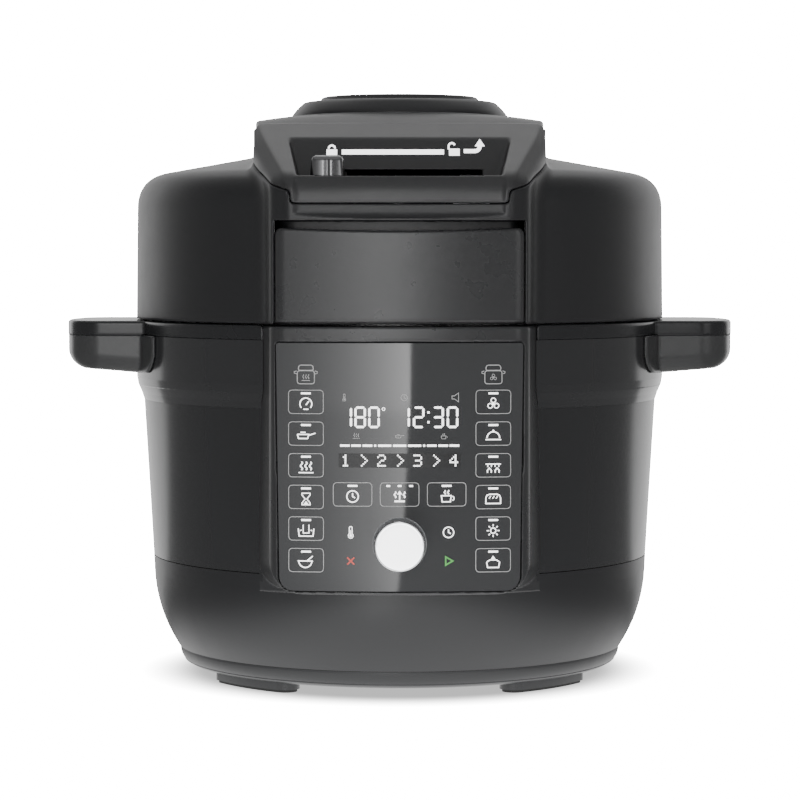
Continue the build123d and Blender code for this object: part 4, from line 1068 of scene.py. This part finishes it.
def dotted(sign, x, z, pitch=0.93):
    """A sign of square dots about (x, z)."""
    shapes = []
    for row, line in enumerate(DOTS[sign]):
        for column, lit in enumerate(line):
            if lit == "1":
                shapes += bar(x + (column - 2) * pitch, z + (3 - row) * pitch, pitch * 0.82, pitch * 0.82)
    return shapes


def key_outlines():
    """Thin frames of the fifteen touch keys, in two columns and a row."""
    frames = []
    for side in (-1, 1):
        for z in ROW_Z:
            frames += shifted(stroke(box_outline(18.7, 12.6, 2.2), LINE, True), side * COLUMN_X, z)
    for x in (-MIDDLE_X, 0.0, MIDDLE_X):
        frames += shifted(stroke(box_outline(20.7, 12.6, 2.2), LINE, True), x, MIDDLE_ROW_Z)
    return frames


def key_signs():
    """Pictograms of the keys and the lit bar at the top of each."""
    left = (icon_pressure, icon_pan, icon_steam, icon_hourglass, icon_bath, icon_bowl)
    right = (icon_fan, icon_cloche, icon_grill, icon_loaf, icon_sun, icon_rising)
    signs = []
    for side, icons in ((-1, left), (1, right)):
        for z, icon in zip(ROW_Z, icons):
            signs += bar(side * COLUMN_X, z + 4.6, 5.2, 0.95)
            signs += shifted(icon(), side * COLUMN_X, z - 1.1, 1.1)
    for x, icon in ((-MIDDLE_X, icon_clock), (0.0, icon_release), (MIDDLE_X, icon_warm)):
        signs += shifted(icon(), x, MIDDLE_ROW_Z - 1.1, 1.1)
    for x in (-MIDDLE_X, MIDDLE_X):
        signs += bar(x, MIDDLE_ROW_Z + 4.6, 5.2, 0.95)
    for x in (-6.1, 0.0, 6.1):
        signs += bar(x, MIDDLE_ROW_Z + 4.6, 2.0, 0.95)
    return signs + shifted(icon_thermometer(), -LABEL_X, LABEL_Z) + shifted(icon_clock(), LABEL_X, LABEL_Z)


def display_signs():
    """Lit figures, progress bars and the dotted line of the display."""
    lit = []
    for value, x in zip((1, 8, 0), (-28.5, -21.1, -13.7)):
        lit += digit(value, x, FIGURE_Z)
    for value, x in zip((1, 2, 3, 0), (2.4, 10.2, 20.6, 28.3)):
        lit += digit(value, x, FIGURE_Z)
    lit += bar(15.4, FIGURE_Z + 2.6, 1.15, 1.15) + bar(15.4, FIGURE_Z - 2.6, 1.15, 1.15)
    lit += stroke(circle(-8.6, 161.6, 0.75, 0, 360, 14)[:-1], LINE, True)
    for side in (-1, 1):
        for x in (29.3, 23.3, 17.2):
            lit += bar(side * x, PROGRESS_Z, 5.1, 1.15)
        lit += bar(side * 8.0, PROGRESS_Z, 7.0, 1.15) + bar(side * 13.1, PROGRESS_Z, 1.1, 1.15)
    lit += bar(0.0, PROGRESS_Z, 7.0, 1.15)
    for k, sign in enumerate("1>2>3>4"):
        lit += dotted(sign, -29.0 + k * 58.0 / 6, DOTTED_Z)
    return lit


def small_signs():
    """Fine signs round the display, and the two pot signs over the columns."""
    pots = shifted(icon_pot(icon_steam()), -COLUMN_X, 180.0)
    pots += shifted(icon_pot(icon_fan()), COLUMN_X, 180.0)
    return (pots + shifted(icon_speaker(), 29.9, 167.8) + shifted(icon_thermometer(0.62), -29.6, 167.7)
            + shifted(icon_clock(0.6), 2.4, 167.7) + shifted(icon_steam(), -23.2, 147.2, 0.5)
            + shifted(icon_pan(), 0.0, 147.0, 0.55) + shifted(icon_warm(), 23.6, 147.0, 0.52))


def make_panel_marks():
    """Everything printed or lit on the touch panel; the printed grey marks carry a faint painted glow."""
    groups = (("key_frames", key_outlines(), "mark_grey"), ("key_signs", key_signs(), "mark_white"),
              ("display_signs", display_signs(), "mark_white"), ("small_signs", small_signs(), "mark_grey"))
    for name, shapes, ink in groups:
        fitted(printed(name, shapes, on_panel), "base", "dial_white", ink)
    cross = stroke([(-1.9, -1.9), (1.9, 1.9)], 0.8) + stroke([(-1.9, 1.9), (1.9, -1.9)], 0.8)
    cross = shifted(cross, -LABEL_X, COMMAND_Z)
    fitted(printed("stop_sign", cross, on_panel), "base", "dial_white", "mark_red")
    start = stroke([(-1.5, -2.2), (2.3, 0.0), (-1.5, 2.2)], 0.8, True)
    start = shifted(start, LABEL_X, COMMAND_Z)
    fitted(printed("start_sign", start, on_panel), "base", "dial_white", "mark_green")
    strip = [piece for k in range(16) for piece in bar(-30.6 + k * 4.08, DOTTED_Z, 4.08, 7.6)]
    fitted(printed("dot_window", strip, on_panel, 0.06), "base", "touch_glass", "mark_dim")


def on_recess(x, z, lift):
    """Point of a mark on the back wall of the latch recess."""
    (top_y, top_z), (low_y, low_z) = RECESS_TOP, RECESS_BACK
    run = (z - low_z) / (top_z - low_z)
    length = math.hypot(top_y - low_y, top_z - low_z)
    y = low_y + (top_y - low_y) * run
    return (x, y - lift * (top_z - low_z) / length, z + lift * (top_y - low_y) / length)


def make_latch_marks():
    """Closed padlock, line, open padlock and bent arrow printed behind the latch, in the lit marks' white with
    a painted glow.
    """
    closed = bar(-37.2, 299.7, 5.8, 3.6) + stroke(circle(-37.2, 302.0, 1.75, 0, 180, 12), 0.95)
    line = bar(-17.7, 300.1, 28.0, 2.7) + bar(10.3, 300.1, 28.0, 2.7)
    shackle = circle(28.6, 303.4, 1.7, 20, 180, 12) + [(26.9, 301.6)]
    opened = bar(30.0, 300.0, 5.8, 3.8) + stroke(shackle, 0.95)
    arrow = stroke([(35.2, 300.6), (41.2, 300.6)] + circle(41.2, 303.4, 2.8, 270, 360, 8), 2.1)
    arrow += up_arrow(44.0, 305.2, 2.7)
    marks = printed("latch_marks", closed + line + opened + arrow, on_recess)
    return fitted(marks, "lid", "dial_white", "mark_white")


# ------------------------------------------------------------------ stage
WHITE = 24.0                    # brightness of the white floor and backdrop to the camera
FRONT_LIGHT = 9.0               # brightness of the front card at its bright edge
EDGE_X = 0.10                   # right edge of the front card
CARD_Y, CARD_LEFT, CARD_TOP = -3.0, -1.7, 1.9
FLOOR_HALF = 9.0
FACE_Y = -0.159                 # the touch panel, that the front light falls off from
SKY_FRONT, SKY_BACK, SKY_TOP = 0.30, 1.45, 0.45
FLOOR_BASE, NEAR_FLOOR = 0.30, 1.6
FALL = 0.183                    # the front light's fall to the left, for each metre of distance


def ramp(tree, value, start, stop, low, high, soft=True):
    """Map Range node from start..stop to low..high, held at both ends."""
    node = tree.nodes.new("ShaderNodeMapRange")
    if soft:
        node.interpolation_type = "SMOOTHSTEP"
    tree.links.new(value, node.inputs["Value"])
    for label, number in (("From Min", start), ("From Max", stop), ("To Min", low), ("To Max", high)):
        node.inputs[label].default_value = number
    return node.outputs["Result"]


def glowing(name, build, to_camera=None):
    """Emission material; build makes its strength, and to_camera the strength that the camera sees."""
    material = bpy.data.materials.new(name)
    material.use_nodes = True
    tree = material.node_tree
    tree.nodes.clear()
    split = tree.nodes.new("ShaderNodeSeparateXYZ")
    tree.links.new(tree.nodes.new("ShaderNodeTexCoord").outputs["Object"], split.inputs[0])
    strength = build(tree, *split.outputs)
    if to_camera:
        pick = tree.nodes.new("ShaderNodeMix")
        tree.links.new(tree.nodes.new("ShaderNodeLightPath").outputs["Is Camera Ray"], pick.inputs["Factor"])
        tree.links.new(strength, pick.inputs["A"])
        tree.links.new(to_camera(tree, *split.outputs), pick.inputs["B"])
        strength = pick.outputs["Result"]
    glow = tree.nodes.new("ShaderNodeEmission")
    tree.links.new(strength, glow.inputs["Strength"])
    tree.links.new(glow.outputs[0], tree.nodes.new("ShaderNodeOutputMaterial").inputs["Surface"])
    return material


def floor_light(tree, x, y, z):
    """What the floor sends to the pot: a lit patch in front on the left, a bright back, dim elsewhere."""
    line = maths(tree, "SUBTRACT", maths(tree, "MULTIPLY", y, -0.037), 0.03)
    beyond = maths(tree, "SUBTRACT", x, line)
    left = ramp(tree, beyond, -0.006, 0.006, 1.0, 0.0)
    away = maths(tree, "MAXIMUM", maths(tree, "MULTIPLY", maths(tree, "ADD", y, -FACE_Y), -FALL), 0.02)
    fade = maths(tree, "EXPONENT", maths(tree, "MINIMUM", maths(tree, "DIVIDE", beyond, away), 0.5))
    front = ramp(tree, y, -0.9, -0.45, 1.0, 0.65)
    ahead = ramp(tree, y, -0.30, -0.20, 1.0, 0.0)
    faded = maths(tree, "MULTIPLY", left, fade)
    lit = maths(tree, "MULTIPLY", faded, maths(tree, "MULTIPLY", front, ahead))
    near = maths(tree, "MULTIPLY", ramp(tree, y, -0.55, -0.45, 0.0, 1.0),
                 ramp(tree, maths(tree, "ABSOLUTE", x), 0.06, 0.26, NEAR_FLOOR, 0.0))
    near = maths(tree, "MULTIPLY", near, ramp(tree, y, 0.0, 0.1, 1.0, 0.0))
    reach = distance(tree, x, y)
    aim = maths(tree, "DIVIDE", y, maths(tree, "MAXIMUM", reach, 0.05))
    back = ramp(tree, aim, 0.50, 0.60, FLOOR_BASE, SKY_BACK)
    total = maths(tree, "ADD", maths(tree, "MULTIPLY", lit, FRONT_LIGHT * 0.62), back)
    return maths(tree, "ADD", total, near)


def floor_seen(tree, x, y, z):
    """White, with a painted soft shadow under the pot."""
    reach = distance(tree, x, y)
    # Painted contact shadow: darker towards the pot's middle.
    painted_shadow = ramp(tree, reach, 0.113, 0.167, 0.23, 1.0)
    return maths(tree, "MULTIPLY", maths(tree, "POWER", painted_shadow, 2.4), WHITE)


def card_light(tree, x, y, z):
    """Front card: brightest at its right edge."""
    beyond = maths(tree, "SUBTRACT", x, EDGE_X)
    reach = (FACE_Y - CARD_Y) * FALL
    return maths(tree, "MULTIPLY", maths(tree, "EXPONENT", maths(tree, "DIVIDE", beyond, reach)), FRONT_LIGHT)


def card(name, corners, build, to_camera=None):
    """A flat stage piece that lights the pot; corners in metres."""
    made = mesh_object(name, np.array(corners) / MM, [(0, 1, 2, 3)], smooth=False)
    made.data.materials.append(glowing(name, build, to_camera))
    return made


def make_world():
    """White to the camera; to the pot, a dim room in front and a bright wall behind."""
    world = bpy.data.worlds.new("studio")
    bpy.context.scene.world = world
    world.use_nodes = True
    tree = world.node_tree
    split = tree.nodes.new("ShaderNodeSeparateXYZ")
    tree.links.new(tree.nodes.new("ShaderNodeTexCoord").outputs["Generated"], split.inputs[0])
    back = ramp(tree, split.outputs[1], 0.50, 0.60, SKY_FRONT, SKY_BACK)
    back = maths(tree, "MULTIPLY", back, ramp(tree, split.outputs[2], 0.2, 0.7, 1.0, 0.16))
    top = ramp(tree, split.outputs[2], 0.35, 0.9, 0.0, SKY_TOP)
    pick = tree.nodes.new("ShaderNodeMix")
    tree.links.new(tree.nodes.new("ShaderNodeLightPath").outputs["Is Camera Ray"], pick.inputs["Factor"])
    tree.links.new(maths(tree, "ADD", back, top), pick.inputs["A"])
    pick.inputs["B"].default_value = WHITE
    backdrop = tree.nodes["Background"]
    backdrop.inputs["Color"].default_value = (1.0, 1.0, 1.0, 1.0)
    tree.links.new(pick.outputs["Result"], backdrop.inputs["Strength"])


def softbox(name, place, aim, size, brightness):
    """A rectangular light that faces aim."""
    data = bpy.data.lights.new(name, "AREA")
    data.shape = "RECTANGLE"
    data.size, data.size_y = size
    data.energy = brightness * math.pi * size[0] * size[1]
    lamp = bpy.data.objects.new(name, data)
    lamp.location = place
    lamp.rotation_euler = (Vector(aim) - Vector(place)).to_track_quat("-Z", "Y").to_euler()
    lamp.visible_camera = False
    bpy.context.scene.collection.objects.link(lamp)
    return lamp


def make_stage(lens):
    """Floor, lights and the camera."""
    make_world()
    half = FLOOR_HALF
    ground = [(-half, -half, 0), (half, -half, 0), (half, half, 0), (-half, half, 0)]
    card("floor", ground, floor_light, floor_seen)
    outline = ((CARD_LEFT, 0), (CARD_LEFT, CARD_TOP), (EDGE_X, CARD_TOP), (EDGE_X, 0))
    front = card("front_card", [(x, CARD_Y, z) for x, z in outline], card_light)
    front.visible_camera = False
    softbox("right_fill", (1.9, -2.4, 0.8), (0.0, 0.0, 0.2), (1.2, 1.6), 1.2)
    softbox("top_softbox", (0.0, 1.5, 2.3), (0.0, 0.0, 0.3), (2.4, 1.2), 0.9)
    camera = bpy.data.cameras.new("camera")
    camera.lens = lens
    camera.sensor_width = 36.0
    eye = bpy.data.objects.new("camera", camera)
    eye.location = (0.0002, -1.715, 0.248)
    eye.rotation_euler = (math.radians(87.0), 0, 0)
    bpy.context.scene.collection.objects.link(eye)
    bpy.context.scene.camera = eye


OWN_FINISH = {"upper_belt": "belt_plastic"}     # pieces finished otherwise than their slot says


def coat_frame():
    """Finishes of the pieces that are seen as the frame has them."""
    slots = {s["node"]: s["material_slot"] for s in frame["record"]["subparts"]}
    for node, piece in frame["nodes"].items():
        coated(piece, OWN_FINISH.get(node, slots[node]))


# ------------------------------------------------------------------ what a user can change
def length(name, description, default):
    """A length in metres."""
    return bpy.props.FloatProperty(name=name, description=description, default=default, min=0.0,
                                   precision=4, unit="LENGTH")


def tint(name, description, finish_name):
    """The colour of one of the finishes."""
    return bpy.props.FloatVectorProperty(name=name, description=description, subtype="COLOR", size=3,
                                         min=0.0, max=1.0, default=FINISHES[finish_name]["colour"])


class CookerSizes(bpy.types.PropertyGroup):
    """Sizes of the covers and trim."""
    mesh_step: length("Mesh step", "Grid that the moulded skins are sampled on", 0.001)
    lid_wall: length("Lid wall", "Wall thickness of the lid cover and the bezel", 0.003)
    grip_lip: length("Grip lip", "Width of the rounded lip round the finger hollow", 0.0086)
    panel_seat: length("Panel seat", "Depth of the touch panel's seat in the fascia", 0.0022)
    dial_rim: length("Dial rim", "Width of the bright rim of the dial", 0.00115)
    lens: bpy.props.FloatProperty(name="Lens", description="Focal length of the stage camera", default=131.2,
                                  min=10.0, subtype="DISTANCE_CAMERA")


class CookerColours(bpy.types.PropertyGroup):
    """Colours of the main finishes."""
    lid_plastic: tint("Lid", "Textured plastic of the lid", "lid_plastic")
    bezel_plastic: tint("Bezel", "Satin plastic of the latch bezel", "bezel_plastic")
    panel_plastic: tint("Front", "Smooth plastic of the front cover, fascia and lower shell", "panel_plastic")
    belt_plastic: tint("Belt", "Glossy plastic of the upper belt", "belt_plastic")
    collar_plastic: tint("Collar", "Plastic of the rim collar", "collar_plastic")
    coated_steel: tint("Sleeve", "Coated steel round the base", "coated_steel")
    grip_plastic: tint("Grips", "Plastic of the handles", "grip_plastic")
    touch_glass: tint("Touch panel", "Face of the touch panel", "touch_glass")
    knob_chrome: tint("Latch knob", "Bright metal of the latch knob", "knob_chrome")
    dial_white: tint("Dial", "White face of the dial", "dial_white")
    mark_white: tint("Lit marks", "Pictograms and figures that light up", "mark_white")
    mark_grey: tint("Printed marks", "Key outlines and small signs", "mark_grey")
    mark_red: tint("Stop sign", "Mark of the stop key", "mark_red")
    mark_green: tint("Start sign", "Mark of the start key", "mark_green")


# ------------------------------------------------------------------ operators
class COOKER_OT_lid_cover(bpy.types.Operator):
    """Make the lid's main cover"""
    bl_idname = "cooker.lid_cover"
    bl_label = "Lid cover"

    def execute(self, context):
        sizes = context.scene.cooker_sizes
        make_lid_cover(sizes.mesh_step / MM, sizes.lid_wall / MM)
        return {"FINISHED"}


class COOKER_OT_bezel(bpy.types.Operator):
    """Make the sloped latch bezel"""
    bl_idname = "cooker.bezel"
    bl_label = "Latch bezel"

    def execute(self, context):
        sizes = context.scene.cooker_sizes
        make_bezel(sizes.mesh_step / MM * 0.8, sizes.lid_wall / MM)
        return {"FINISHED"}


class COOKER_OT_front_cover(bpy.types.Operator):
    """Make the smooth plate on the front of the lid"""
    bl_idname = "cooker.front_cover"
    bl_label = "Front cover"

    def execute(self, context):
        make_front_cover(context.scene.cooker_sizes.mesh_step / MM * 0.75)
        return {"FINISHED"}


class COOKER_OT_cap(bpy.types.Operator):
    """Make the round cap on the lid and its inlay"""
    bl_idname = "cooker.cap"
    bl_label = "Top cap"

    def execute(self, context):
        make_cap()
        return {"FINISHED"}


class COOKER_OT_latch(bpy.types.Operator):
    """Make the finger knob of the latch"""
    bl_idname = "cooker.latch"
    bl_label = "Latch knob"

    def execute(self, context):
        make_latch(context.scene.cooker_sizes.mesh_step / MM * 0.4)
        return {"FINISHED"}


class COOKER_OT_collar(bpy.types.Operator):
    """Make the rim collar with the tops of the handles"""
    bl_idname = "cooker.collar"
    bl_label = "Rim collar"

    def execute(self, context):
        make_collar(context.scene.cooker_sizes.mesh_step / MM)
        return {"FINISHED"}


class COOKER_OT_grips(bpy.types.Operator):
    """Make both handles"""
    bl_idname = "cooker.grips"
    bl_label = "Handles"

    def execute(self, context):
        sizes = context.scene.cooker_sizes
        make_grips(sizes.mesh_step / MM * 0.8, sizes.grip_lip / MM)
        return {"FINISHED"}


class COOKER_OT_fascia(bpy.types.Operator):
    """Make the bulged front housing of the base"""
    bl_idname = "cooker.fascia"
    bl_label = "Front housing"

    def execute(self, context):
        sizes = context.scene.cooker_sizes
        make_fascia(sizes.mesh_step / MM, sizes.panel_seat / MM)
        return {"FINISHED"}


class COOKER_OT_dial(bpy.types.Operator):
    """Make the dial's white cap and its bright rim"""
    bl_idname = "cooker.dial"
    bl_label = "Dial"

    def execute(self, context):
        make_dial(context.scene.cooker_sizes.dial_rim / MM)
        return {"FINISHED"}


class COOKER_OT_panel_marks(bpy.types.Operator):
    """Print the keys, signs and display figures on the touch panel"""
    bl_idname = "cooker.panel_marks"
    bl_label = "Panel marks"

    def execute(self, context):
        make_panel_marks()
        return {"FINISHED"}


class COOKER_OT_latch_marks(bpy.types.Operator):
    """Print the padlocks and the arrow behind the latch"""
    bl_idname = "cooker.latch_marks"
    bl_label = "Latch marks"

    def execute(self, context):
        make_latch_marks()
        return {"FINISHED"}


class COOKER_OT_finishes(bpy.types.Operator):
    """Give every piece of the frame its finish"""
    bl_idname = "cooker.finishes"
    bl_label = "Frame finishes"

    def execute(self, context):
        coat_frame()
        return {"FINISHED"}


class COOKER_OT_stage(bpy.types.Operator):
    """Make the floor, the lights and the camera"""
    bl_idname = "cooker.stage"
    bl_label = "Stage"

    def execute(self, context):
        make_stage(context.scene.cooker_sizes.lens)
        return {"FINISHED"}


OPERATORS = (COOKER_OT_lid_cover, COOKER_OT_bezel, COOKER_OT_front_cover, COOKER_OT_cap, COOKER_OT_latch,
             COOKER_OT_collar, COOKER_OT_grips, COOKER_OT_fascia, COOKER_OT_dial, COOKER_OT_panel_marks,
             COOKER_OT_latch_marks, COOKER_OT_finishes, COOKER_OT_stage)


class COOKER_PT_builder(bpy.types.Panel):
    """Sizes, colours and building steps of the cooker"""
    bl_label = "Pressure Cooker"
    bl_space_type = "VIEW_3D"
    bl_region_type = "UI"
    bl_category = "Cooker"

    def draw(self, context):
        scene = context.scene
        for values, kind in ((scene.cooker_sizes, CookerSizes), (scene.cooker_colours, CookerColours)):
            box = self.layout.box()
            for label in kind.__annotations__:
                box.prop(values, label)
        for kind in OPERATORS:
            self.layout.operator(kind.bl_idname)


CLASSES = (CookerSizes, CookerColours, *OPERATORS, COOKER_PT_builder)


def register():
    """Adds the classes and the scene's values."""
    for kind in CLASSES:
        bpy.utils.register_class(kind)
    bpy.types.Scene.cooker_sizes = bpy.props.PointerProperty(type=CookerSizes)
    bpy.types.Scene.cooker_colours = bpy.props.PointerProperty(type=CookerColours)


def unregister():
    """Takes them away again."""
    del bpy.types.Scene.cooker_colours
    del bpy.types.Scene.cooker_sizes
    for kind in reversed(CLASSES):
        bpy.utils.unregister_class(kind)


def main():
    """Registers the classes and builds the whole model."""
    register()
    bpy.ops.cooker.lid_cover()
    bpy.ops.cooker.bezel()
    bpy.ops.cooker.front_cover()
    bpy.ops.cooker.cap()
    bpy.ops.cooker.latch()
    bpy.ops.cooker.collar()
    bpy.ops.cooker.grips()
    bpy.ops.cooker.fascia()
    bpy.ops.cooker.dial()
    bpy.ops.cooker.panel_marks()
    bpy.ops.cooker.latch_marks()
    bpy.ops.cooker.finishes()
    bpy.ops.cooker.stage()


if __name__ == "__main__":
    main()
